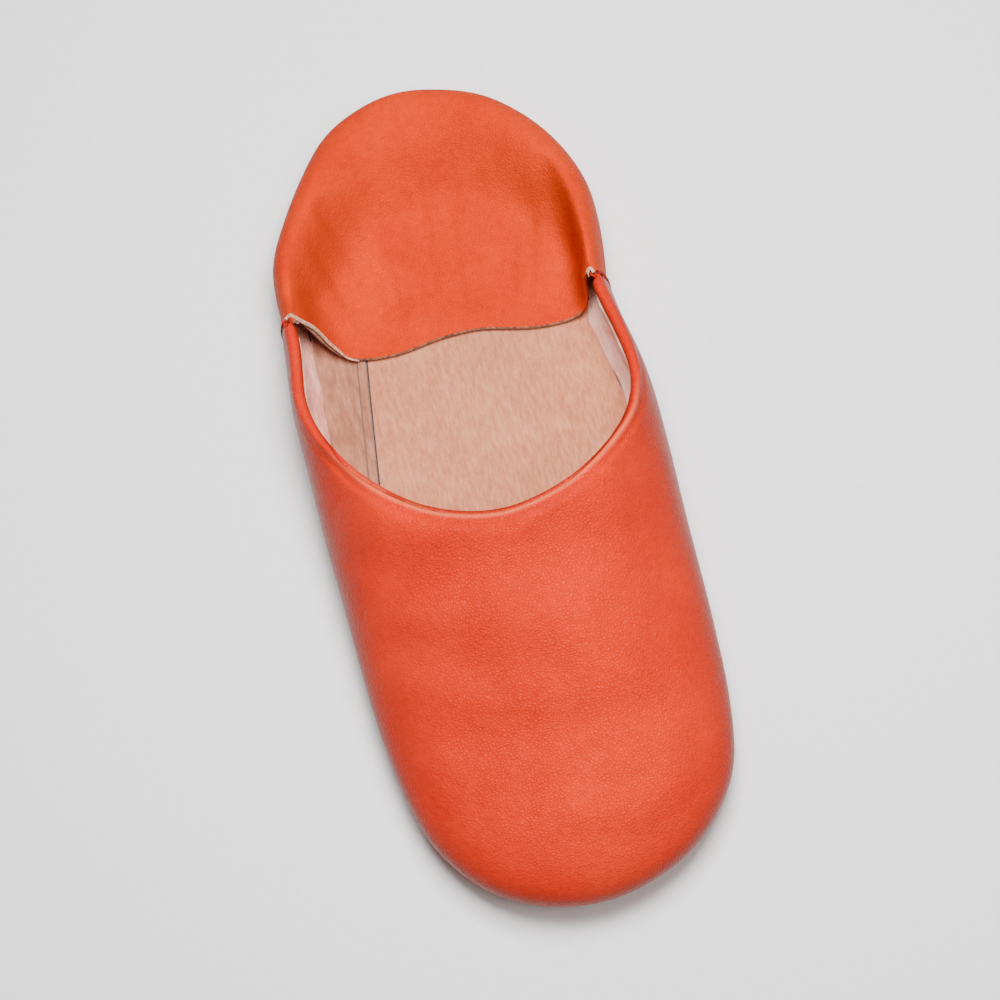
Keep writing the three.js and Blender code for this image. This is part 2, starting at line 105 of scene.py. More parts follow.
def linear(code: str) -> tuple[float, float, float, float]:
    """Turns an sRGB hex colour into linear red, green, blue and alpha.

    Args:
        code: colour as "#RRGGBB".

    Returns:
        The linear colour with alpha 1.
    """
    parts = [int(code[i:i + 2], 16) / 255 for i in (1, 3, 5)]
    red, green, blue = (p / 12.92 if p <= 0.04045 else ((p + 0.055) / 1.055) ** 2.4 for p in parts)
    return (red, green, blue, 1.0)


def per(size: float) -> float:
    """Gives the texture scale on Object coordinates whose pattern is `size` millimetres wide."""
    return 1 / (size * MM)


def clamp(value: float, low: float = 0.0) -> float:
    """Limits a value to between `low` and 1."""
    return max(low, min(1.0, value))


def add_node(tree: Tree, kind: str, settings: Optional[dict] = None, links: Optional[dict] = None) -> Node:
    """Adds a shader node, sets it and links its inputs.

    Args:
        tree: node tree that gets the node.
        kind: Blender's name of the node type, without "ShaderNode".
        settings: values by the name of a property, or by the name or number of an input;
            "stops" are the (position, hex colour) pairs of a colour ramp.
        links: nodes whose main output feeds an input, by the input's name or number.

    Returns:
        The new node.
    """
    node = tree.nodes.new("ShaderNode" + kind)
    for name, value in (settings or {}).items():
        if name == "stops":
            elements = node.color_ramp.elements
            while len(elements) < len(value):
                elements.new(0.5)
            for element, (position, code) in zip(elements, value):
                element.position = position
                element.color = linear(code)
        elif isinstance(name, str) and hasattr(node, name):
            setattr(node, name, value)
        else:
            node.inputs[name].default_value = value
    for name, source in (links or {}).items():
        tree.links.new(source.outputs[MAIN_OUTPUT.get(source.bl_idname, 0)], node.inputs[name])
    return node


@dataclass(frozen=True)
class Finish:
    """A finish whose material is built of shader nodes."""

    name: str

    def material(self) -> bpy.types.Material:
        """Builds the finish's node material.

        Returns:
            The material, named for what the real one is.
        """
        material = bpy.data.materials.new(self.name)
        material.use_nodes = True
        tree = material.node_tree
        tree.nodes.clear()
        settings, links = self.paint(tree, add_node(tree, "TexCoord"))
        shader = add_node(tree, "BsdfPrincipled", settings, links)
        add_node(tree, "OutputMaterial", {}, {"Surface": shader})
        return material

    def paint(self, tree: Tree, spot: Node) -> tuple[dict, dict]:
        """Adds the finish's own nodes, which read Object coordinates from `spot`.

        Args:
            tree: the material's node tree.
            spot: its Texture Coordinate node.

        Returns:
            Values, and nodes, for the shader's inputs by name.
        """
        raise NotImplementedError


@dataclass(frozen=True)
class DyedNappa(Finish):
    """Drum-dyed sheepskin nappa with a satin finish, as on the vamp and the heel.

    The dye sits unevenly in soft clouds and the finish gives broad soft highlights that break up in
    the grain. The real pebble is about half as wide as `grain` and would be too fine to show.
    """

    name: str = "dyed_nappa_vamp"
    deep: str = "#BC1A02"
    body: str = "#C82104"
    bloom: str = "#D22A08"
    cloud: float = 34.0
    freckle: float = 2.2
    speck: float = 0.1
    grain: float = 0.95
    grain_depth: float = 0.3
    crackle: float = 1.5
    crackle_depth: float = 0.36
    # Painted shade: steep faces get a darker tint, as though turned away from the light.
    burnish: float = 0.9
    slope_shade_tint: str = "#902610"
    roughness: float = 0.43
    shine: float = 0.15
    shine_tint: str = "#FFB090"
    hem_line: Optional[float] = 3.4
    hem_width: float = 1.1
    hem_depth: float = 0.08
    # Painted shade: how much darker the colour is in the hem's groove.
    hem_shade_tone: float = 0.975
    shadow_line: float = -3.3
    shadow_width: float = 0.55
    shadow_tone: float = 0.12
    # Painted highlight along the front of the rim, and painted shade at its inner edge.
    rim_polish: float = 0.6
    rim_highlight_tint: str = "#F07850"
    rim_shade: float = 0.5

    def paint(self, tree: Tree, spot: Node) -> tuple[dict, dict]:
        """Adds the dye, the shade painted on steep faces, the grain and the rim's painted highlight and
        shade.

        Args:
            tree: the material's node tree.
            spot: its Texture Coordinate node.

        Returns:
            Values, and nodes, for the shader's inputs by name.
        """
        cloud = add_node(tree, "TexNoise", {
            "Scale": per(self.cloud), "Detail": 3.0, "Roughness": 0.55, "Distortion": 0.6}, {"Vector": spot})
        dye = add_node(tree, "ValToRGB", {
            "stops": ((0.3, self.deep), (0.5, self.body), (0.72, self.bloom))}, {"Fac": cloud})
        freckle = add_node(tree, "TexNoise", {
            "Scale": per(self.freckle), "Detail": 5.0, "Roughness": 0.7}, {"Vector": spot})
        speck = add_node(tree, "MapRange", {
            "From Min": 0.3, "From Max": 0.7, "To Min": 1.0 - self.speck, "To Max": 1.0 + self.speck},
            {"Value": freckle})
        base = add_node(tree, "Mix", MULTIPLY, {COLOUR_A: dye, COLOUR_B: speck})
        # Painted shade: the steeper the face, the further its colour goes towards the darker tint.
        slope = add_node(tree, "Attribute", {"attribute_name": "burnish"})
        slope_shaded = add_node(tree, "MapRange", {"To Max": self.burnish}, {"Value": slope})
        colour = add_node(tree, "Mix", {**BLEND, COLOUR_B: linear(self.slope_shade_tint)},
                          {FACTOR: slope_shaded, COLOUR_A: base})
        normal = self._grain(tree, spot)
        if self.hem_line is not None:
            colour, normal = self._rim(tree, colour, normal)
        satin = add_node(tree, "MapRange", {
            "From Min": 0.25, "From Max": 0.75, "To Min": self.roughness - 0.06,
            "To Max": self.roughness + 0.08}, {"Value": freckle})
        settings = {"IOR": 1.5, "Specular IOR Level": self.shine, "Specular Tint": linear(self.shine_tint)}
        return settings, {"Base Color": colour, "Roughness": satin, "Normal": normal}

    def _grain(self, tree: Tree, spot: Node) -> Node:
        """Adds the pebble of the grain over a softer crackle.

        Args:
            tree: the material's node tree.
            spot: its Texture Coordinate node.

        Returns:
            The bump node.
        """
        pebble = add_node(tree, "TexVoronoi", {
            "feature": "DISTANCE_TO_EDGE", "Scale": per(self.grain), "Randomness": 1.0}, {"Vector": spot})
        dome = add_node(tree, "Math", {"operation": "POWER", SECOND: 0.5}, {FIRST: pebble})
        crackle = add_node(tree, "TexNoise", {
            "Scale": per(self.crackle), "Detail": 3.0, "Roughness": 0.5}, {"Vector": spot})
        soft = add_node(tree, "Bump", {"Strength": 0.5, "Distance": self.crackle_depth * MM},
                        {"Height": crackle})
        return add_node(tree, "Bump", {"Strength": 0.8, "Distance": self.grain_depth * MM},
                        {"Height": dome, "Normal": soft})

    def _rim(self, tree: Tree, colour: Node, normal: Node) -> tuple[Node, Node]:
        """Adds the pressed hem line with painted shade in its groove, the painted shadow under the rolled
        rim, and the rim's painted highlight and painted shade.

        Args:
            tree: the material's node tree.
            colour: node of the leather's colour.
            normal: node of its bump.

        Returns:
            The colour and bump nodes with the rim on them.
        """
        rim = add_node(tree, "Attribute", {"attribute_name": "rim_distance"})

        def band(middle: float, width: float, tone: float) -> Node:
            """Adds a line that runs along the rim.

            Args:
                middle: millimetres from the rim to the line.
                width: millimetres from the line's middle to where it fades out.
                tone: value on its middle.

            Returns:
                The node that gives `tone` on the line and 1 beside it.
            """
            off = add_node(tree, "Math", {"operation": "SUBTRACT", SECOND: middle}, {FIRST: rim})
            away = add_node(tree, "Math", {"operation": "ABSOLUTE"}, {FIRST: off})
            return add_node(tree, "MapRange", {
                "interpolation_type": "SMOOTHSTEP", "From Max": width, "To Min": tone}, {"Value": away})

        groove = band(self.hem_line, self.hem_width, 0.0)
        pressed = add_node(tree, "Bump", {"Strength": 0.5, "Distance": self.hem_depth * MM},
                           {"Height": groove, "Normal": normal})
        # Painted shade: the colour is a little darker in the hem's groove.
        shade = add_node(tree, "MapRange", {"To Min": self.hem_shade_tone}, {"Value": groove})
        hem = add_node(tree, "Mix", MULTIPLY, {COLOUR_A: colour, COLOUR_B: shade})
        gap = band(self.shadow_line, self.shadow_width, self.shadow_tone)
        line = add_node(tree, "Mix", MULTIPLY, {COLOUR_A: hem, COLOUR_B: gap})
        # Painted highlight where the stored rim value is positive, painted shade where it is negative.
        crest = add_node(tree, "Attribute", {"attribute_name": "rim_polish"})
        highlight = add_node(tree, "MapRange", {"To Max": self.rim_polish}, {"Value": crest})
        toned = add_node(tree, "Mix", {**BLEND, COLOUR_B: linear(self.rim_highlight_tint)},
                        {FACTOR: highlight, COLOUR_A: line})
        rim_shade = add_node(tree, "MapRange", {"From Min": -1.0, "From Max": 0.0, "To Min": self.rim_shade},
                          {"Value": crest})
        return add_node(tree, "Mix", MULTIPLY, {COLOUR_A: toned, COLOUR_B: rim_shade}), pressed


@dataclass(frozen=True)
class Suede(Finish):
    """Undyed sheepskin with its nap up or its flesh side showing.

    It is dull and powdery, lighter where the nap stands, with streaks from rubbing, and has a
    soft sheen at a low angle. Its fibres are drawn far wider than real ones, which wouldn't show.
    """

    name: str = "undyed_suede"
    deep: str = "#BE7857"
    body: str = "#CB8461"
    pale: str = "#D69070"
    cloud: float = 12.0
    streak: float = 1.6
    stretch: float = 5.0
    streak_depth: float = 0.4
    nap: float = 0.5
    nap_depth: float = 0.12
    roughness: float = 0.92
    sheen: float = 0.25

    def paint(self, tree: Tree, spot: Node) -> tuple[dict, dict]:
        """Adds the clouds and streaks of the nap and its fibres.

        Args:
            tree: the material's node tree.
            spot: its Texture Coordinate node.

        Returns:
            Values, and nodes, for the shader's inputs by name.
        """
        along = add_node(tree, "Mapping", {"Scale": (1.0, 1 / self.stretch, 1.0)}, {"Vector": spot})
        cloud = add_node(tree, "TexNoise", {
            "Scale": per(self.cloud), "Detail": 4.0, "Roughness": 0.6, "Distortion": 0.8}, {"Vector": spot})
        streak = add_node(tree, "TexNoise", {
            "Scale": per(self.streak), "Detail": 4.0, "Roughness": 0.65}, {"Vector": along})
        both = add_node(tree, "Math", {"operation": "MULTIPLY_ADD", SECOND: 0.5},
                        {FIRST: cloud, THIRD: streak})
        mottle = add_node(tree, "MapRange", {"From Min": 0.5, "From Max": 1.0}, {"Value": both})
        tint = add_node(tree, "ValToRGB", {
            "stops": ((0.15, self.deep), (0.5, self.body), (0.85, self.pale))}, {"Fac": mottle})
        fibre = add_node(tree, "TexNoise", {
            "Scale": per(self.nap), "Detail": 3.0, "Roughness": 0.7}, {"Vector": spot})
        dust = add_node(tree, "MapRange", {
            "From Min": 0.3, "From Max": 0.7, "To Min": 0.9, "To Max": 1.07}, {"Value": fibre})
        base = add_node(tree, "Mix", MULTIPLY, {COLOUR_A: tint, COLOUR_B: dust})
        rough = add_node(tree, "Bump", {"Strength": 0.8, "Distance": self.nap_depth * MM}, {"Height": fibre})
        dent = add_node(tree, "Bump", {"Strength": 0.6, "Distance": self.streak_depth * MM},
                        {"Height": streak, "Normal": rough})
        settings = {"Roughness": self.roughness, "IOR": 1.45, "Specular IOR Level": 0.3,
                    "Sheen Weight": self.sheen, "Sheen Roughness": 0.6}
        return settings, {"Base Color": base, "Normal": dent}


@dataclass(frozen=True)
class SoleLeather(Finish):
    """Vegetable-tanned cowhide, rolled hard for soles.

    It is tan and half dull, with a fine grain, faint rolling streaks and scuffs where it bears. The
    grain is drawn coarser than the real one, which is too fine to show.
    """

    name: str = "veg_tan_sole_leather"
    deep: str = "#8F6236"
    body: str = "#B4854F"
    pale: str = "#C79C68"
    rolling: float = 5.0
    scuff: float = 9.0
    grain: float = 0.7
    grain_depth: float = 0.12
    roughness: float = 0.62

    def paint(self, tree: Tree, spot: Node) -> tuple[dict, dict]:
        """Adds the rolling streaks, the scuffs and the grain.

        Args:
            tree: the material's node tree.
            spot: its Texture Coordinate node.

        Returns:
            Values, and nodes, for the shader's inputs by name.
        """
        rolled = add_node(tree, "Mapping", {"Scale": (1.0, 0.2, 1.0)}, {"Vector": spot})
        streak = add_node(tree, "TexNoise", {
            "Scale": per(self.rolling), "Detail": 5.0, "Roughness": 0.6}, {"Vector": rolled})
        tint = add_node(tree, "ValToRGB", {
            "stops": ((0.3, self.deep), (0.52, self.body), (0.75, self.pale))}, {"Fac": streak})
        grain = add_node(tree, "TexNoise", {"Scale": per(self.grain), "Detail": 3.0}, {"Vector": spot})
        scuff = add_node(tree, "TexNoise", {
            "Scale": per(self.scuff), "Detail": 6.0, "Roughness": 0.75}, {"Vector": spot})
        toned = add_node(tree, "MapRange", {"From Min": 0.4, "From Max": 0.65, "To Min": 0.82},
                        {"Value": scuff})
        base = add_node(tree, "Mix", MULTIPLY, {COLOUR_A: tint, COLOUR_B: toned})
        dull = add_node(tree, "MapRange", {"To Min": self.roughness + 0.15, "To Max": self.roughness - 0.1},
                        {"Value": toned})
        bump = add_node(tree, "Bump", {"Strength": 0.7, "Distance": self.grain_depth * MM},
                        {"Height": grain})
        return {"IOR": 1.5}, {"Base Color": base, "Roughness": dull, "Normal": bump}


@dataclass(frozen=True)
class WaxedThread(Finish):
    """Twisted cotton thread, dyed red and drawn over wax.

    It is dark and slightly glossy on its twist. The real plies are about half as wide as `ply` and
    would be too fine to show.
    """

    name: str = "waxed_red_thread"
    deep: str = "#7A130D"
    body: str = "#B02A1C"
    ply: float = 0.45
    ply_depth: float = 0.1

    def paint(self, tree: Tree, spot: Node) -> tuple[dict, dict]:
        """Adds the twist of the plies.

        Args:
            tree: the material's node tree.
            spot: its Texture Coordinate node.

        Returns:
            Values, and nodes, for the shader's inputs by name.
        """
        twist = add_node(tree, "TexWave", {
            "bands_direction": "DIAGONAL", "Scale": per(self.ply) / WAVE_RADIANS, "Distortion": 1.0},
            {"Vector": spot})
        tint = add_node(tree, "ValToRGB", {"stops": ((0.0, self.deep), (1.0, self.body))}, {"Fac": twist})
        bump = add_node(tree, "Bump", {"Strength": 0.6, "Distance": self.ply_depth * MM}, {"Height": twist})
        return {"Roughness": 0.5, "Specular IOR Level": 0.15}, {"Base Color": tint, "Normal": bump}


@dataclass(frozen=True)
class StudioPaper(Finish):
    """Matt white background paper, even but for a faint mottle of its pulp."""

    name: str = "white_studio_paper"
    tone: str = "#F0EFEE"
    pale: str = "#F4F3F2"
    pulp: float = 3.0

    def paint(self, tree: Tree, spot: Node) -> tuple[dict, dict]:
        """Adds the mottle of the pulp.

        Args:
            tree: the material's node tree.
            spot: its Texture Coordinate node.

        Returns:
            Values, and nodes, for the shader's inputs by name.
        """
        pulp = add_node(tree, "TexNoise", {"Scale": per(self.pulp), "Detail": 4.0}, {"Vector": spot})
        tint = add_node(tree, "ValToRGB", {"stops": ((0.3, self.tone), (0.7, self.pale))}, {"Fac": pulp})
        return {"Roughness": 0.9}, {"Base Color": tint}


def deselect() -> None:
    """Leaves nothing selected, in object mode."""
    if bpy.context.object is not None and bpy.context.object.mode != "OBJECT":
        done()
    for piece in bpy.context.view_layer.objects:
        piece.select_set(False)


def focus(piece: Piece) -> None:
    """Makes one piece the only selected and the active one.

    Args:
        piece: the object.
    """
    deselect()
    piece.select_set(True)
    bpy.context.view_layer.objects.active = piece


def edit(piece: Piece, action: str = "SELECT", mode: str = "FACE") -> None:
    """Opens a piece in edit mode.

    Args:
        piece: mesh object.
        action: "SELECT" or "DESELECT", done to all of it.
        mode: "FACE" or "EDGE", what is then selected.
    """
    focus(piece)
    bpy.ops.object.mode_set(mode="EDIT")
    bpy.ops.mesh.select_mode(type=mode)
    bpy.ops.mesh.select_all(action=action)


def edit_chosen(piece: Piece, chosen: Sequence[bool], mode: str = "FACE") -> None:
    """Opens a piece in edit mode with only its chosen faces or edges selected.

    Args:
        piece: mesh object.
        chosen: for each face or edge, whether it is selected.
        mode: "FACE" or "EDGE".
    """
    edit(piece, "DESELECT", mode)
    done()
    parts = piece.data.polygons if mode == "FACE" else piece.data.edges
    for part, pick in zip(parts, chosen):
        part.select = pick
    bpy.ops.object.mode_set(mode="EDIT")


def done() -> None:
    """Goes back to object mode."""
    bpy.ops.object.mode_set(mode="OBJECT")


def copy_of(piece: Piece, name: str) -> Piece:
    """Adds a copy of a piece.

    Args:
        piece: mesh object.
        name: name of the copy.

    Returns:
        The copy, with a mesh of its own.
    """
    copy = bpy.data.objects.new(name, piece.data.copy())
    copy.data.name = name
    bpy.context.scene.collection.objects.link(copy)
    return copy


def merged_copy(node: Piece, name: str) -> Piece:
    """Copies a CAD node's mesh, merges its loose triangles and pairs them into quads.

    Args:
        node: the CAD node, which stays as it is.
        name: name of the copy.

    Returns:
        The copy, a closed mesh at the origin.
    """
    piece = copy_of(node, name)
    piece.data.materials.clear()
    edit(piece)
    bpy.ops.mesh.remove_doubles(threshold=MERGE_DISTANCE)
    bpy.ops.mesh.customdata_custom_splitnormals_clear()
    bpy.ops.mesh.tris_convert_to_quads(face_threshold=math.pi, shape_threshold=math.pi)
    done()
    return piece


def split_off(piece: Piece, chosen: Sequence[bool], name: str) -> Piece:
    """Separates some faces of a piece into a piece of their own.

    Args:
        piece: mesh object.
        chosen: for each face, whether it goes to the new piece.
        name: name of the new piece.

    Returns:
        The new piece.
    """
    edit_chosen(piece, chosen)
    bpy.ops.mesh.separate(type="SELECTED")
    done()
    new = next(o for o in bpy.context.selected_objects if o is not piece)
    new.name = name
    new.data.name = name
    return new


def faces_by_edge(mesh: bpy.types.Mesh) -> dict[tuple, list]:
    """Finds the faces on each edge.

    Args:
        mesh: the mesh.

    Returns:
        Lists of faces by the edge's key.
    """
    faces: dict[tuple, list] = {}
    for face in mesh.polygons:
        for key in face.edge_keys:
            faces.setdefault(key, []).append(face)
    return faces


def close_holes(piece: Piece, reach: float) -> None:
    """Closes the two open ends of a cut shell, one on each side, with faces across its wall.

    Args:
        piece: the open shell.
        reach: millimetres along y by which each end is first drawn out.
    """
    for side in Side:
        mesh = piece.data
        faces = faces_by_edge(mesh)
        chosen = []
        for edge in mesh.edges:
            a, b = (mesh.vertices[i].co.x for i in edge.vertices)
            chosen.append(len(faces[tuple(edge.key)]) == 1 and (a + b) * side.value > 0)
        edit_chosen(piece, chosen, "EDGE")
        bpy.ops.mesh.extrude_region()
        bpy.ops.transform.translate(value=(0, reach * MM, 0))
        bpy.ops.mesh.edge_face_add()
        bpy.ops.mesh.quads_convert_to_tris(ngon_method="BEAUTY")
        bpy.ops.mesh.tris_convert_to_quads(face_threshold=math.pi, shape_threshold=math.pi)
        bpy.ops.mesh.select_all(action="SELECT")
        bpy.ops.mesh.normals_make_consistent(inside=False)
        done()


def apply_modifier(piece: Piece, kind: str, **settings: object) -> None:
    """Shapes a piece with a modifier and applies it.

    Args:
        piece: mesh object.
        kind: Blender's name of the modifier type.
        settings: values by the name of a property.
    """
    focus(piece)
    modifier = piece.modifiers.new(kind.lower(), kind)
    for name, value in settings.items():
        setattr(modifier, name, value)
    bpy.ops.object.modifier_apply(modifier=modifier.name)


def press(piece: Piece, weights: Sequence[float], depth: float) -> None:
    """Moves a piece's surface along its normals.

    Args:
        piece: mesh object.
        weights: one weight for each vertex, 0 to 1.
        depth: millimetres at weight 1, outwards if positive.
    """
    group = piece.vertex_groups.new(name="pressed")
    for index, weight in enumerate(weights):
        if weight > 0.001:
            group.add([index], min(1.0, weight), "REPLACE")
    apply_modifier(piece, "DISPLACE", direction="NORMAL", mid_level=0.0, strength=depth * MM,
                   vertex_group=group.name)
    piece.vertex_groups.remove(piece.vertex_groups["pressed"])


def store(piece: Piece, name: str, values: Sequence[float]) -> None:
    """Stores one value for each vertex as an attribute that a material reads."""
    layer = piece.data.attributes.new(name, "FLOAT", "POINT")
    layer.data.foreach_set("value", values)


def shade(piece: Piece, angle: float) -> None:
    """Shades a piece smooth, with edges above an angle in degrees kept sharp."""
    focus(piece)
    bpy.ops.object.shade_smooth_by_angle(angle=math.radians(angle))


def dress(piece: Piece, finishes: Sequence[Finish]) -> None:
    """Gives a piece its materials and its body.

    Args:
        piece: mesh object.
        finishes: one finish for each material index.
    """
    piece.data.materials.clear()
    for finish in finishes:
        piece.data.materials.append(finish.material())
    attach(piece, "root")


def tube(name: str, path: Sequence[Point], radii: Sequence[float], sides: int) -> Piece:
    """Models a round strand along a path and turns it into a closed mesh.

    Args:
        name: name of the strand.
        path: points in millimetres.
        radii: radius in millimetres at each point.
        sides: Blender's bevel resolution.

    Returns:
        The strand as a mesh object.
    """
    deselect()
    bpy.ops.curve.primitive_nurbs_path_add(radius=1.0)
    strand = bpy.context.object
    strand.name = name
    line = strand.data
    line.splines.clear()
    spline = line.splines.new("NURBS")
    spline.points.add(len(path) - 1)
    for point, place, radius in zip(spline.points, path, radii):
        point.co = (*(c * MM for c in place), 1.0)
        point.radius = radius
    spline.use_endpoint_u = True
    spline.order_u = 3
    line.resolution_u = 3
    line.bevel_depth = MM
    line.bevel_resolution = sides
    line.use_fill_caps = True
    focus(strand)
    bpy.ops.object.convert(target="MESH")
    edit(strand)
    bpy.ops.mesh.remove_doubles(threshold=MERGE_DISTANCE)
    bpy.ops.mesh.normals_make_consistent(inside=False)
    done()
    shade(strand, 60.0)
    return strand


def copies(model: Piece, places: Sequence[Matrix], name: str) -> Piece:
    """Repeats a modelled piece, each copy with its own mesh, and joins them.

    Args:
        model: the piece to repeat, which is used up.
        places: one matrix for each copy.
        name: name of the joined piece.

    Returns:
        The joined piece.
    """
    made = [copy_of(model, name) for _ in places]
    for copy, place in zip(made, places):
        copy.data.transform(place)
    bpy.data.objects.remove(model)
    focus(made[0])
    for copy in made:
        copy.select_set(True)
    bpy.ops.object.join()
    return made[0]


def frame_at(place: Vector, run: Vector, up: Vector) -> Matrix:
    """Lays a model at a place.

    Args:
        place: where its origin goes.
        run: direction of its x axis.
        up: direction near its z axis.

    Returns:
        The model's matrix.
    """
    run = run.normalized()
    side = up.cross(run).normalized()
    matrix = Matrix((run, side, run.cross(side))).transposed().to_4x4()
    matrix.translation = place
    return matrix


def path_length(path: Sequence[Vector]) -> float:
    """Gives the length of a path of straight legs."""
    return sum((b - a).length for a, b in zip(path, path[1:]))


def walk(path: Sequence[Vector], run: float) -> tuple[Vector, Vector]:
    """Goes along a path of straight legs.

    Args:
        path: its corners.
        run: how far to go.

    Returns:
        The point reached, and the direction of its leg.
    """
    for start, end in zip(path, path[1:]):
        leg = end - start
        if run <= leg.length:
            break
        run -= leg.length
    return start.lerp(end, run / leg.length), leg.normalized()


def nearest(leathers: Sequence[Piece], point: Vector) -> tuple[Vector, Vector]:
    """Finds the nearest point of several pieces.

    Args:
        leathers: mesh objects at the origin.
        point: a point in metres.

    Returns:
        The nearest surface point and its normal.
    """
    found = [piece.closest_point_on_mesh(point) for piece in leathers]
    _, near, normal, _ = min(found, key=lambda hit: (hit[1] - point).length)
    return near, normal


@dataclass(frozen=True)
class Fold:
    """A soft trough or ridge in the leather, placed one by one.

    Args:
        line: plan points of its middle, in millimetres.
        width: distance from its middle to where it fades out.
        height: millimetres up, or down if negative.
    """

    line: tuple[Span, ...]
    width: float
    height: float

    def weight(self, point: Vector) -> float:
        """Gives the fold's strength at a point.

        Args:
            point: a point in metres.

        Returns:
            1 on the fold's middle, 0 outside its width.
        """
        here = Vector((point.x, point.y)) / MM
        best = math.inf
        for start, end in zip(self.line, self.line[1:]):
            a, b = Vector(start), Vector(end)
            share = clamp((here - a).dot(b - a) / (b - a).length_squared)
            best = min(best, (here - (a + (b - a) * share)).length)
        away = best / self.width
        return 0.0 if away >= 1 else (1 - away * away) ** 2


@dataclass(frozen=True)
class Stitch:
    """The form of one stitch.

    Args:
        length: from end to end, in millimetres.
        radius: of the thread, in millimetres.
        heights: of its ends, shoulders and middle over the leather, in millimetres.
        shoulder: where the shoulders are, as a share of half its length.
        ends: how thick its ends are, as a share of the thread.
    """

    length: float
    radius: float
    heights: Point
    shoulder: float
    ends: float

    def model(self, name: str) -> Piece:
        """Models the stitch along x at the origin.

        Args:
            name: name of the stitch.

        Returns:
            The stitch as a mesh object.
        """
        half = self.length / 2
        bend = half * self.shoulder
        low, high, top = self.heights
        path = [(-half, 0, low), (-bend, 0, high), (0, 0, top), (bend, 0, high), (half, 0, low)]
        return tube(name, path, [self.radius * s for s in (self.ends, 1.0, 1.05, 1.0, self.ends)], 1)


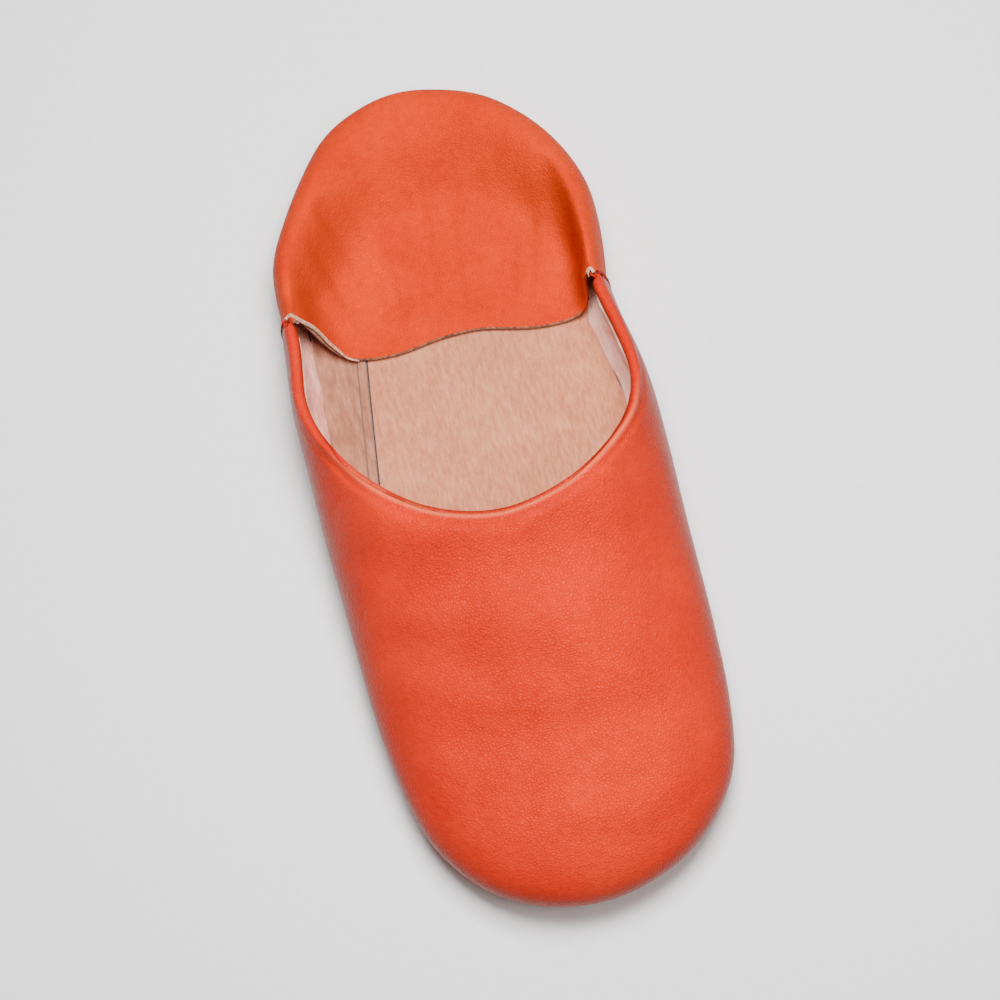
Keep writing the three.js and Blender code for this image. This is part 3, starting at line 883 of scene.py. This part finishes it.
@dataclass
class Upper:
    """The vamp, its lining, and the heel leather sewn to it at both sides and trodden flat."""

    # The side seams along y, and how far each cut end is drawn out before it is closed.
    lateral_seam: float = 58.42
    medial_seam: float = 48.2
    seam_reach: float = 0.25
    # The flap in front of the seams: its heights, and how far it reaches across at each.
    flap_front: float = 40.0
    flap_base: float = 6.6
    flap_knee: float = 14.0
    flap_top: float = 28.3
    flap_base_reach: float = 36.0
    flap_knee_reach: float = 40.6
    flap_lateral_reach: float = 42.8
    flap_medial_reach: float = 41.2
    # The flap's cut edge, and the undyed hollow under it.
    cut_facing: float = -0.35
    cut_across: Span = (-46.0, 37.0)
    cut_along: Span = (38.0, 62.0)
    hollow_back: float = 78.0
    hollow_top: float = 26.0
    hollow_slope: float = 0.3
    cover_gap: float = 0.3
    # The middle of the foot's space, which tells the vamp's inside from its outside.
    toe_middle: float = -97.0
    foot_height: float = 13.0
    throat_middle: float = 30.0
    # The rolled rim, its painted highlight and the painted shade at its inner edge, and the turned hem below
    # it.
    rim_reach: float = 30.6
    rim_far: float = 40.0
    end_margin: float = 0.6
    highlight_at: float = 1.6
    highlight_width: float = 0.95
    highlight_end: float = 16.0
    rim_shade_width: float = 0.8
    hem: float = 3.4
    hem_width: float = 1.9
    hem_depth: float = 0.42
    hem_end: float = 30.0
    front_fade: float = 16.0
    # The lining: its edges and their waver, and how it bulges in (height, length and phase of waves).
    lining_thickness: float = 0.8
    lining_top: float = 3.7
    lining_foot: float = 4.4
    waver: float = 0.35
    waver_long: float = 2.3
    waver_short: float = 0.9
    waver_share: float = 0.6
    bulge: float = 1.3
    bulge_fade: float = 5.0
    bulge_top: float = 34.0
    bulge_mean: float = 0.55
    bulge_waves: tuple[Point, ...] = ((0.3, 5.1, 0.0), (0.15, 2.2, 1.0))
    # Painted shade where the leather's surface stands steep and turns away from the light above, and the
    # folds on its top.
    slope_shade_from: float = 0.98
    slope_shade_over: float = 0.6
    fold_slope: float = 0.1
    fold_strength: float = 2.4
    smooth_angle: float = 70.0
    vamp_leather: DyedNappa = DyedNappa()
    heel_leather: DyedNappa = DyedNappa(
        name="dyed_nappa_heel", deep="#BE2600", body="#C82E00", bloom="#D23704", roughness=0.54,
        shine=0.05, cloud=26.0, hem_line=None, burnish=0.5, slope_shade_tint="#A03C14")
    lining_suede: Suede = Suede(
        name="pink_skiver_lining", deep="#CB7C66", body="#DC917C", pale="#ECAE9C", cloud=7.0)
    # A lighter copy of the lining suede: painted light for the inner side of the foot.
    lit_lining: Suede = Suede(
        name="pink_skiver_lining_lit", deep="#F4AC96", body="#FFC2AE", pale="#FFD8C8", cloud=7.0)
    # The flap's cut flesh edge, painted darker than bare flesh as painted shade.
    raw_edge: Suede = Suede(
        name="raw_flesh_side_painted_shade", deep="#4E2412", body="#7A4228", pale="#A0623F", cloud=4.0, streak=1.2)
    undyed_inside: Suede = Suede(
        name="undyed_flesh_side", deep="#C98A72", body="#DDA08A", pale="#EBB6A2", cloud=6.0, streak=1.4)
    vamp_folds: tuple[Fold, ...] = (
        Fold(((-36, 10), (-20, -7), (0, -14), (18, -9), (34, 6)), 9.0, -0.55),
        Fold(((-30, -22), (-12, -30), (4, -34)), 13.0, -0.5),
        Fold(((-38, -8), (-24, -18)), 12.0, 0.5),
        Fold(((-6, -42), (10, -50), (22, -66)), 14.0, 0.45),
        Fold(((14, -26), (30, -34), (38, -48)), 12.0, -0.45),
        Fold(((-24, -72), (-6, -78), (8, -80)), 11.0, -0.4),
        Fold(((14, -84), (26, -88)), 12.0, 0.4),
        Fold(((-44, 14), (-42, -14)), 9.0, -0.22),
        Fold(((40, -12), (41, -40)), 10.0, -0.3),
        Fold(((-14, -58), (-26, -50), (-38, -44)), 9.0, -0.35),
        Fold(((0, -100), (16, -104), (28, -98)), 8.0, 0.35),
    )
    heel_folds: tuple[Fold, ...] = (
        Fold(((-20, 62), (-23, 78), (-28, 92)), 4.5, -0.45),
        Fold(((-12, 60), (-12, 74)), 3.5, 0.35),
        Fold(((-4, 62), (-2, 84), (-1, 98)), 4.0, -0.35),
        Fold(((8, 58), (10, 76), (14, 94)), 4.5, 0.35),
        Fold(((18, 56), (22, 70)), 3.5, -0.4),
        Fold(((26, 52), (30, 64), (33, 76)), 3.5, 0.4),
        Fold(((-30, 58), (-34, 70), (-37, 80)), 4.0, 0.35),
        Fold(((-10, 88), (4, 92), (16, 90)), 5.0, -0.3),
        Fold(((36, 60), (38, 74), (37, 88)), 5.0, -0.5),
    )

    def build(self, node: Piece) -> list[Piece]:
        """Cuts the upper's solid into its leathers and models their folds.

        Args:
            node: the CAD node of the upper.

        Returns:
            The vamp, the lining and the heel leather.
        """
        vamp = merged_copy(node, "vamp")
        heel = split_off(vamp, self._heel_faces(vamp.data), "heel_leather")
        for piece, reach in ((vamp, self.seam_reach), (heel, -self.seam_reach)):
            close_holes(piece, reach)
            apply_modifier(piece, "SUBSURF", levels=2, render_levels=2)
        rim = self._rim_line(vamp.data)
        lining = self._lay_lining(vamp, rim)
        self._turn_hem(vamp, rim)
        for piece, folds in ((vamp, self.vamp_folds), (heel, self.heel_folds)):
            self._fold(piece, folds)
        self._measure_rim(vamp, rim)
        for piece in (vamp, heel):
            # Painted shade: the steeper a face stands, the darker its leather is painted.
            steep = [(self.slope_shade_from - v.normal.z) / self.slope_shade_over for v in piece.data.vertices]
            store(piece, "burnish", [clamp(s) for s in steep])
        self._dress(vamp, lining, heel)
        return [vamp, lining, heel]

    def _seam_y(self, x: float) -> float:
        """Gives y of the side seam on the side of x, in millimetres."""
        return self.lateral_seam if x < 0 else self.medial_seam

    def _behind(self, place: Vector) -> bool:
        """Tells the heel leather, which is behind the seams or on the flap, from the vamp.

        Args:
            place: a point in metres.

        Returns:
            Whether the point belongs to the heel leather.
        """
        x, y, z = place / MM
        if y > self._seam_y(x):
            return True
        if y < self.flap_front or z > self.flap_top:
            return False
        if z < self.flap_base:
            return abs(x) < self.flap_base_reach
        if z < self.flap_knee:
            return abs(x) < self.flap_knee_reach
        return abs(x) < (self.flap_lateral_reach if x < 0 else self.flap_medial_reach)

    def _heel_faces(self, mesh: bpy.types.Mesh) -> list[bool]:
        """Finds the heel leather's faces.

        Args:
            mesh: the whole upper's mesh.

        Returns:
            For each face, whether it belongs to the heel leather.
        """
        chosen = []
        for face in mesh.polygons:
            behind = [self._behind(mesh.vertices[i].co) for i in face.vertices]
            inside = face.normal.x * face.center.x < 0
            chosen.append(all(behind) or (any(behind) and inside))
        return chosen

    def _faces_foot(self, place: Vector, normal: Vector) -> bool:
        """Says whether the vamp's surface at a place looks at the foot inside."""
        middle = Vector((0.0, max(place.y, self.toe_middle * MM), self.foot_height * MM))
        return (middle - place).dot(normal) > 0

    def _rim_line(self, mesh: bpy.types.Mesh) -> KDTree:
        """Finds the crest of the rolled rim, where the outside turns into the inside.

        Args:
            mesh: the vamp's mesh.

        Returns:
            The crest's vertices, ready for finding the nearest.
        """
        seen: dict[int, set] = {}
        for face in mesh.polygons:
            foot = self._faces_foot(face.center, face.normal)
            for index in face.vertices:
                seen.setdefault(index, set()).add(foot)
        crest = []
        for index, looks in seen.items():
            x, y, z = mesh.vertices[index].co / MM
            if len(looks) == 2 and z > self.rim_reach and y < self._seam_y(x) - self.end_margin:
                crest.append(index)
        tree = KDTree(len(crest))
        for index in crest:
            tree.insert(mesh.vertices[index].co, index)
        tree.balance()
        return tree

    def _lined(self, face: bpy.types.MeshPolygon, rim: KDTree) -> bool:
        """Says whether the lining covers a face of the vamp.

        Args:
            face: the face.
            rim: crest of the rim.

        Returns:
            Whether it lies inside, over the insole and below the lining's wavering upper edge.
        """
        x, y, z = face.center / MM
        if not self._faces_foot(face.center, face.normal) or z < self.lining_foot:
            return False
        waver = math.sin(y / self.waver_long) + self.waver_share * math.sin(y / self.waver_short + x)
        return rim.find(face.center)[2] >= (self.lining_top + self.waver * waver) * MM

    def _lay_lining(self, vamp: Piece, rim: KDTree) -> Piece:
        """Lays the lining against the vamp's inside, from under the rim down to the insole.

        Args:
            vamp: the vamp.
            rim: crest of the rim.

        Returns:
            The lining.
        """
        lining = copy_of(vamp, "vamp_lining")
        edit_chosen(lining, [not self._lined(face, rim) for face in lining.data.polygons])
        bpy.ops.mesh.delete(type="FACE")
        bpy.ops.mesh.select_all(action="SELECT")
        bpy.ops.mesh.region_to_loop()
        bpy.ops.mesh.vertices_smooth(factor=0.5, repeat=3)
        done()
        apply_modifier(lining, "SOLIDIFY", thickness=self.lining_thickness * MM, offset=1.0)
        swell = []
        for vertex in lining.data.vertices:
            deep = clamp((rim.find(vertex.co)[2] / MM - self.lining_top) / self.bulge_fade)
            _, y, z = vertex.co / MM
            wave = self.bulge_mean
            for height, length, phase in self.bulge_waves:
                wave += height * math.sin(y / length + phase)
            foot = self._faces_foot(vertex.co, vertex.normal) and z < self.bulge_top
            swell.append(deep * wave if foot else 0.0)
        press(lining, swell, self.bulge)
        return lining

    def _fold(self, piece: Piece, folds: Sequence[Fold]) -> None:
        """Presses the troughs and raises the ridges of a leather's upper face.

        Args:
            piece: the leather.
            folds: its folds, one after the other.
        """
        for fold in folds:
            top = self.fold_slope
            weights = [fold.weight(v.co) if v.normal.z > top else 0.0 for v in piece.data.vertices]
            press(piece, weights, fold.height * self.fold_strength)

    def _measure_rim(self, vamp: Piece, rim: KDTree) -> None:
        """Stores each vertex's distance from the rim, and where the rim gets painted highlight or painted
        shade.

        Args:
            vamp: the vamp; its distances are negative on the foot's side, its painted shade negative.
            rim: crest of the rim.
        """
        throat = Vector((0.0, self.throat_middle * MM, 0.0))
        distances, rim_highlights = [], []
        for vertex in vamp.data.vertices:
            crest, _, away = rim.find(vertex.co)
            inward = (vertex.co - crest).xy.dot((throat - crest).xy) > 0
            sign = -1 if inward or self._faces_foot(vertex.co, vertex.normal) else 1
            distance = sign * min(self.rim_far, away / MM)
            # Painted highlight just outside the crest and painted shade on the crest, both only round the
            # front.
            bright = clamp(1 - abs(distance - self.highlight_at) / self.highlight_width)
            dark = clamp(1 - abs(distance) / self.rim_shade_width)
            distances.append(distance)
            rim_highlights.append((bright - dark) * self._in_front(vertex.co, self.highlight_end))
        store(vamp, "rim_distance", distances)
        store(vamp, "rim_polish", rim_highlights)

    def _in_front(self, place: Vector, end: float) -> float:
        """Gives 1 round the front of the throat, fading along its sides to 0 at y `end` (mm)."""
        return clamp((end - place.y / MM) / self.front_fade)

    def _turn_hem(self, vamp: Piece, rim: KDTree) -> None:
        """Presses the line where the turned hem ends below the rolled rim.

        Args:
            vamp: the vamp.
            rim: crest of the rim.
        """
        weights = []
        for vertex in vamp.data.vertices:
            off = (rim.find(vertex.co)[2] / MM - self.hem) / self.hem_width
            outer = not self._faces_foot(vertex.co, vertex.normal)
            front = self._in_front(vertex.co, self.hem_end)
            weights.append((1 - off * off) ** 2 * front if outer and abs(off) < 1 else 0.0)
        press(vamp, weights, -self.hem_depth)

    def _flesh(self, heel: Piece, face: bpy.types.MeshPolygon) -> int:
        """Finds the finish of a face of the heel leather.

        Args:
            heel: the heel leather.
            face: one of its faces.

        Returns:
            1 on the flap's cut edge, 2 on the undyed inside under the flap, otherwise 0.
        """
        x, y, z = face.center / MM
        (left, right), (front, back) = self.cut_across, self.cut_along
        # The cut edge's dark colour is painted shade over its flesh.
        if face.normal.y < self.cut_facing and left < x < right and front < y < back:
            return 1
        inward = face.normal.x * x < 0 or face.normal.z > self.hollow_slope
        if not inward or y >= self.hollow_back or z >= self.hollow_top:
            return 0
        return 2 if heel.ray_cast(face.center + UP * self.cover_gap * MM, UP)[0] else 0

    def _dress(self, vamp: Piece, lining: Piece, heel: Piece) -> None:
        """Gives the leathers their finishes and their body.

        Args:
            vamp: the vamp.
            lining: its lining, with a lighter copy of its suede on the inner side of the foot as painted
                light.
            heel: the heel leather.
        """
        dress(vamp, [self.vamp_leather])
        dress(heel, [self.heel_leather, self.raw_edge, self.undyed_inside])
        dress(lining, [self.lining_suede, self.lit_lining])
        # Painted light: the inner side of the foot gets the lighter copy of the lining.
        for face in lining.data.polygons:
            face.material_index = 1 if face.center.x > 0 else 0
        for piece in (vamp, heel, lining):
            shade(piece, self.smooth_angle)
        for face in heel.data.polygons:
            face.material_index = self._flesh(heel, face)
        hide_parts("upper")
        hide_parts("upper")


@dataclass
class Insole:
    """The suede insole: a main sheet and a side piece, joined under a raised lap."""

    edge_width: float = 0.25
    edge_angle: float = 40.0
    # The join across x, and how a face stands there that was cut.
    join: Span = (-38.0, -24.0)
    cut_slope: float = 0.985
    # How far the edge goes under the wall, and where along y that starts and is reached.
    tuck: float = 1.1
    tuck_from: float = 36.5
    tuck_slope: float = 0.9
    tuck_least: float = 0.12
    tuck_start: float = 42.0
    tuck_over: float = 8.0
    suede: Suede = Suede(
        name="undyed_insole_suede", deep="#B56D4E", body="#C47A58", pale="#D08967",
        cloud=18.0, streak=1.1, stretch=3.6)
    side_suede: Suede = Suede(
        name="undyed_insole_suede_side", deep="#8E5840", body="#A0664C", pale="#B2785E")
    # The lap's cut steps: partly the cut edge's own colour, partly painted shade where the raised edge steps
    # down.
    cut_edge: Suede = Suede(
        name="suede_cut_edge", deep="#664232", body="#785242", pale="#8A6250", cloud=4.0, streak=1.0)

    def build(self, nodes: dict) -> list[Piece]:
        """Models both sheets from their solids.

        Args:
            nodes: the CAD nodes by name.

        Returns:
            The two sheets.
        """
        sheets = []
        left, right = self.join
        for name, finish in (("insole", self.suede), ("insole_side_piece", self.side_suede)):
            sheet = merged_copy(nodes[name], f"{name}_suede")
            apply_modifier(sheet, "BEVEL", width=self.edge_width * MM, segments=2, limit_method="ANGLE",
                           angle_limit=math.radians(self.edge_angle))
            press(sheet, [self._tucked(v) for v in sheet.data.vertices], self.tuck)
            dress(sheet, [finish, self.cut_edge])
            for face in sheet.data.polygons:
                # Painted shade, partly the cut edge's own colour, on the steep faces of the lap.
                steep = abs(face.normal.z) < self.cut_slope
                face.material_index = 1 if steep and left < face.center.x / MM < right else 0
            shade(sheet, self.edge_angle)
            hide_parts(name)
            sheets.append(sheet)
        return sheets

    def _tucked(self, vertex: bpy.types.MeshVertex) -> float:
        """Tells how far an edge is tucked under the wall.

        Args:
            vertex: a vertex of a sheet.

        Returns:
            1 at the seams, little before them, and 0 off the edge.
        """
        if abs(vertex.co.x) < self.tuck_from * MM or abs(vertex.normal.z) > self.tuck_slope:
            return 0.0
        return clamp((vertex.co.y / MM - self.tuck_start) / self.tuck_over, self.tuck_least)


@dataclass
class Outsole:
    """One flat leather sole with a stitching channel cut round its underside."""

    bottom_slope: float = -0.8
    top_slope: float = 0.7
    channel_inset: float = 3.2
    channel_wall: float = 0.3
    channel_floor: float = 0.6
    channel_depth: float = 0.5
    smooth_angle: float = 35.0
    pitch: float = 4.6
    stitch: Stitch = Stitch(length=3.4, radius=0.33, heights=(0.25, -0.05, -0.1), shoulder=0.5, ends=0.7)
    leather: SoleLeather = SoleLeather()
    # The sole's top face, darkened as painted shade: it shows only in the narrow gaps under the upper and
    # the insole.
    shaded_top: SoleLeather = SoleLeather(
        name="sole_leather_shaded_top", deep="#5A3826", body="#6C4632", pale="#7C5440", roughness=0.8)
    thread: WaxedThread = WaxedThread()

    def build(self, node: Piece) -> list[Piece]:
        """Models the sole with its channel and lays the stitches in it.

        Args:
            node: the CAD node of the outsole.

        Returns:
            The sole and its stitches.
        """
        sole = merged_copy(node, "sole_leather")
        edit_chosen(sole, [face.normal.z < self.bottom_slope for face in sole.data.polygons])
        bpy.ops.mesh.inset(thickness=self.channel_inset * MM)
        bpy.ops.mesh.inset(thickness=self.channel_wall * MM)
        bpy.ops.transform.translate(value=(0, 0, self.channel_depth * MM))
        bpy.ops.mesh.inset(thickness=self.channel_floor * MM)
        done()
        channel = self._channel_line(sole.data)
        bpy.ops.object.mode_set(mode="EDIT")
        bpy.ops.mesh.inset(thickness=self.channel_wall * MM)
        bpy.ops.transform.translate(value=(0, 0, -self.channel_depth * MM))
        done()
        for vertex in sole.data.vertices:
            vertex.co.z = max(0.0, vertex.co.z)
        dress(sole, [self.leather, self.shaded_top])
        # Painted shade on the faces that look up.
        for face in sole.data.polygons:
            face.material_index = 1 if face.normal.z > self.top_slope else 0
        shade(sole, self.smooth_angle)
        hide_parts("outsole")
        stitches = self._sew(channel)
        dress(stitches, [self.thread])
        return [sole, stitches]

    def _channel_line(self, mesh: bpy.types.Mesh) -> list[Vector]:
        """Walks the channel's floor, which is the ring of faces round the selected ones.

        Args:
            mesh: the sole's mesh.

        Returns:
            The ring's points in order, the first one again at the end.
        """
        ring = {}
        for pair in faces_by_edge(mesh).values():
            if len(pair) == 2 and pair[0].select != pair[1].select:
                outer = pair[1] if pair[0].select else pair[0]
                ring[outer.index] = outer.center.copy()
        line = sorted(ring.values(), key=lambda p: math.atan2(p.y, p.x))
        return line + line[:1]

    def _sew(self, channel: Sequence[Vector]) -> Piece:
        """Lays one row of stitches along the channel.

        Args:
            channel: points of its floor.

        Returns:
            The stitches as one piece.
        """
        total = path_length(channel)
        count = int(total / (self.pitch * MM))
        places = [frame_at(*walk(channel, total * k / count), UP) for k in range(count)]
        return copies(self.stitch.model("sole_stitch"), places, "sole_stitches")


@dataclass
class SideSeam:
    """One side seam: whip stitches over the vamp's end, their holes, and the curled raw edge."""

    side: Side
    path: tuple[Point, ...]
    edge: tuple[Point, ...]
    edge_radii: tuple[float, ...]
    edge_lift: float = 0.2
    # The underside of the curl, its flesh side darkened with painted shade: which way it looks, and how
    # squarely a face must look there.
    open_side: Point = (-0.62, -0.78, 0.0)
    underside_from: float = 0.62
    pitch: float = 1.5
    start: float = 0.25
    lean: float = 0.6
    stitch: Stitch = Stitch(length=2.5, radius=0.3, heights=(-0.6, 0.1, 0.24), shoulder=0.75, ends=0.8)
    hole_radius: float = 0.5
    hole_flatness: float = 0.35
    hole_ends: Span = (-0.94, 0.94)
    smooth_angle: float = 50.0
    thread: WaxedThread = WaxedThread(name="waxed_red_seam_thread", deep="#6A0C04", body="#A81A0A")
    raw_edge: Suede = Suede(
        name="raw_edge_curl", deep="#9C6848", body="#C58C6B", pale="#DDAA8A", cloud=3.0, streak=1.0)
    # The flesh side under the curl, darkened as painted shade.
    underside: Suede = Suede(
        name="raw_edge_shaded_underside", deep="#2A1008", body="#42200F", pale="#5E3420", cloud=3.0, streak=1.0,
        sheen=0.0)
    hole: Suede = Suede(
        name="awl_hole_shadow", deep="#2C0804", body="#3A0C06", pale="#4C140A", cloud=2.0, streak=0.8,
        sheen=0.0)

    def build(self, leathers: Sequence[Piece]) -> list[Piece]:
        """Models the raw edge, the stitches and their holes on the leathers.

        Args:
            leathers: the vamp and the heel leather that the seam joins.

        Returns:
            The curled edge, the row of stitches and the row of holes.
        """
        name = self.side.name.lower()
        seated = []
        for point in self.edge:
            near, normal = nearest(leathers, Vector(point) * MM)
            seated.append(tuple((near + normal * self.edge_lift * MM) / MM))
        curl = tube(f"{name}_raw_edge", seated, self.edge_radii, 3)
        dress(curl, [self.raw_edge, self.underside])
        open_side = Vector(self.open_side)
        # Painted shade on the faces that look towards the curl's open underside.
        for face in curl.data.polygons:
            face.material_index = 1 if face.normal.dot(open_side) > self.underside_from else 0
        row, holes = self._sew(name, leathers)
        dress(row, [self.thread])
        dress(holes, [self.hole])
        shade(holes, self.smooth_angle)
        return [curl, row, holes]

    def _hole(self) -> Piece:
        """Models one awl hole as a flat dark dot at the origin.

        Returns:
            The dot.
        """
        deselect()
        bpy.ops.mesh.primitive_uv_sphere_add(segments=10, ring_count=6, radius=self.hole_radius * MM)
        dot = bpy.context.object
        edit(dot)
        bpy.ops.transform.resize(value=(1.0, 1.0, self.hole_flatness))
        done()
        return dot

    def _sew(self, name: str, leathers: Sequence[Piece]) -> tuple[Piece, Piece]:
        """Sews the zigzag of stitches over the rim and down the outside of the seam.

        Args:
            name: name of the foot's side.
            leathers: the vamp and the heel leather.

        Returns:
            The row of stitches and the row of holes.
        """
        path = [Vector(p) for p in self.path]
        places, spots = [], []
        for k in range(int(path_length(path) / self.pitch)):
            spot, down = walk(path, self.pitch * (k + self.start))
            near, normal = nearest(leathers, spot * MM)
            across = normal.cross(down).normalized()
            lean = self.lean if k % 2 else -self.lean
            run = across * math.cos(lean) + across.cross(normal) * math.sin(lean)
            places.append(frame_at(near, run, normal))
            for end in self.hole_ends:
                hole, out = nearest(leathers, near + run * (self.stitch.length / 2) * end * MM)
                spots.append(frame_at(hole, run, out))
        row = copies(self.stitch.model(f"{name}_stitch"), places, f"{name}_seam_stitches")
        return row, copies(self._hole(), spots, f"{name}_seam_holes")


def side_seams() -> tuple[SideSeam, SideSeam]:
    """Places the two side seams at given points.

    Returns:
        The lateral and the medial seam.
    """
    lateral = SideSeam(
        side=Side.LATERAL,
        path=((-44.4, 58.7, 30.8), (-45.4, 58.7, 32.0), (-46.7, 58.7, 32.2), (-47.6, 58.7, 30.8),
              (-48.6, 58.7, 27.0), (-49.3, 58.7, 22.0), (-49.6, 58.7, 16.0), (-49.4, 58.7, 11.0),
              (-48.4, 58.7, 7.5)),
        edge=((-47.6, 59.5, 30.8), (-46.6, 60.4, 31.6), (-45.4, 60.6, 31.4), (-44.2, 60.0, 29.6),
              (-42.4, 59.0, 26.0), (-40.9, 58.2, 22.6), (-39.6, 57.2, 19.4), (-38.4, 55.6, 16.2),
              (-37.0, 53.8, 13.2), (-35.3, 52.0, 10.8), (-33.0, 50.0, 9.0), (-30.0, 48.6, 8.0)),
        edge_radii=(0.35, 0.5, 0.58, 0.62, 0.66, 0.68, 0.68, 0.64, 0.58, 0.5, 0.42, 0.3),
    )
    medial = SideSeam(
        side=Side.MEDIAL,
        path=((41.8, 48.5, 30.6), (42.8, 48.6, 31.8), (44.0, 48.6, 32.1), (45.0, 48.6, 30.8),
              (46.0, 48.7, 27.0), (46.7, 48.7, 22.0), (47.0, 48.7, 16.0), (46.9, 48.7, 11.0),
              (46.0, 48.7, 7.5)),
        edge=((43.0, 49.0, 31.0), (42.4, 50.2, 31.4), (41.2, 50.6, 31.2), (40.4, 49.6, 30.2),
              (40.8, 48.4, 28.8)),
        edge_radii=(0.4, 0.55, 0.6, 0.55, 0.35),
    )
    return lateral, medial


@dataclass(frozen=True)
class SoftBox:
    """One soft light that looks at the shoe.

    Args:
        name: name of the light.
        place: where it hangs, in millimetres.
        size: its side, in millimetres.
        power: watts.
    """

    name: str
    place: Point
    size: float
    power: float

    def hang(self) -> None:
        """Hangs the light."""
        data = bpy.data.lights.new(self.name, "AREA")
        data.shape = "SQUARE"
        data.size = self.size * MM
        data.energy = self.power
        lamp = bpy.data.objects.new(self.name, data)
        lamp.location = Vector(self.place) * MM
        lamp.rotation_euler = (-lamp.location).to_track_quat("-Z", "Y").to_euler()
        bpy.context.scene.collection.objects.link(lamp)


@dataclass
class Studio:
    """A white paper floor, soft lights, and the camera at the photograph's angle to the shoe."""

    floor_side: float = 4000.0
    room_light: float = 0.14
    lights: tuple[SoftBox, ...] = (
        SoftBox("key", (64, 66, 620), 240, 9.0),
        SoftBox("fill", (-300, 300, 900), 700, 0.6),
        SoftBox("front", (240, -260, 900), 260, 2.6),
    )
    # The camera's angles and distance, and the two ends of the shoe that it centres and leans.
    azimuth: float = 4.0
    elevation: float = 76.5
    distance: float = 850.0
    target: Point = (0.0, 0.0, 15.0)
    heel_end: Point = (0.0, 125.0, 12.0)
    toe_end: Point = (0.0, -125.0, 9.0)
    lean: float = 14.64
    lens: float = 105.6
    sensor: float = 36.0
    near_clip: float = 50.0
    paper: StudioPaper = StudioPaper()

    def build(self) -> None:
        """Sets up the floor, the lights, the world and the camera."""
        self._floor()
        for light in self.lights:
            light.hang()
        self._world()
        self._camera()

    def _floor(self) -> None:
        """Lays the paper floor under the sole."""
        deselect()
        bpy.ops.mesh.primitive_grid_add(x_subdivisions=8, y_subdivisions=8, size=self.floor_side * MM)
        floor = bpy.context.object
        floor.name = "studio_floor"
        floor.data.materials.append(self.paper.material())

    def _world(self) -> None:
        """Makes the room's even white light."""
        world = bpy.data.worlds.new("white_room")
        world.use_nodes = True
        tree = world.node_tree
        tree.nodes.clear()
        glow = add_node(tree, "Background", {"Color": (1.0, 1.0, 1.0, 1.0), "Strength": self.room_light})
        add_node(tree, "OutputWorld", {}, {"Surface": glow})
        bpy.context.scene.world = world

    def _camera(self) -> None:
        """Places the camera and rolls it so that the shoe leans as in the photograph."""
        around, above = math.radians(self.azimuth), math.radians(self.elevation)
        level = math.cos(above)
        back = Vector((math.sin(around) * level, -math.cos(around) * level, math.sin(above)))
        right = Vector((math.cos(around), math.sin(around), 0.0))
        up = back.cross(right)
        eye = Vector(self.target) + back * self.distance

        def seen(point: Point) -> Vector:
            """Gives where the camera sees a point, right and up, at a distance of 1."""
            ray = Vector(point) - eye
            return Vector((ray.dot(right), ray.dot(up))) / -ray.dot(back)

        heel, toe = seen(self.heel_end), seen(self.toe_end)
        middle = (heel + toe) / 2 * self.distance
        eye += right * middle.x + up * middle.y
        run = toe - heel
        roll = math.atan2(run.x, -run.y) - math.radians(self.lean)
        data = bpy.data.cameras.new("camera")
        data.lens = self.lens
        data.sensor_width = self.sensor
        data.clip_start = self.near_clip * MM
        camera = bpy.data.objects.new("camera", data)
        turn = Matrix((right, up, back)).transposed() @ Matrix.Rotation(roll, 3, "Z")
        camera.matrix_world = Matrix.Translation(eye * MM) @ turn.to_4x4()
        bpy.context.scene.collection.objects.link(camera)
        bpy.context.scene.camera = camera


def note(pieces: Sequence[Piece]) -> None:
    """Reports each piece's name and faces."""
    for piece in pieces:
        LOG.info("%s: %d faces", piece.name, len(piece.data.polygons))


def main() -> None:
    """Builds the slipper's sub-assemblies in order and the studio round them."""
    logging.basicConfig(level=logging.INFO, format="%(name)s: %(message)s")
    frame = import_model()
    nodes = frame["nodes"]
    vamp, lining, heel = Upper().build(nodes["upper"])
    note((vamp, lining, heel))
    note(Insole().build(nodes))
    note(Outsole().build(nodes["outsole"]))
    for seam in side_seams():
        note(seam.build((vamp, heel)))
    Studio().build()


if __name__ == "__main__":
    main()
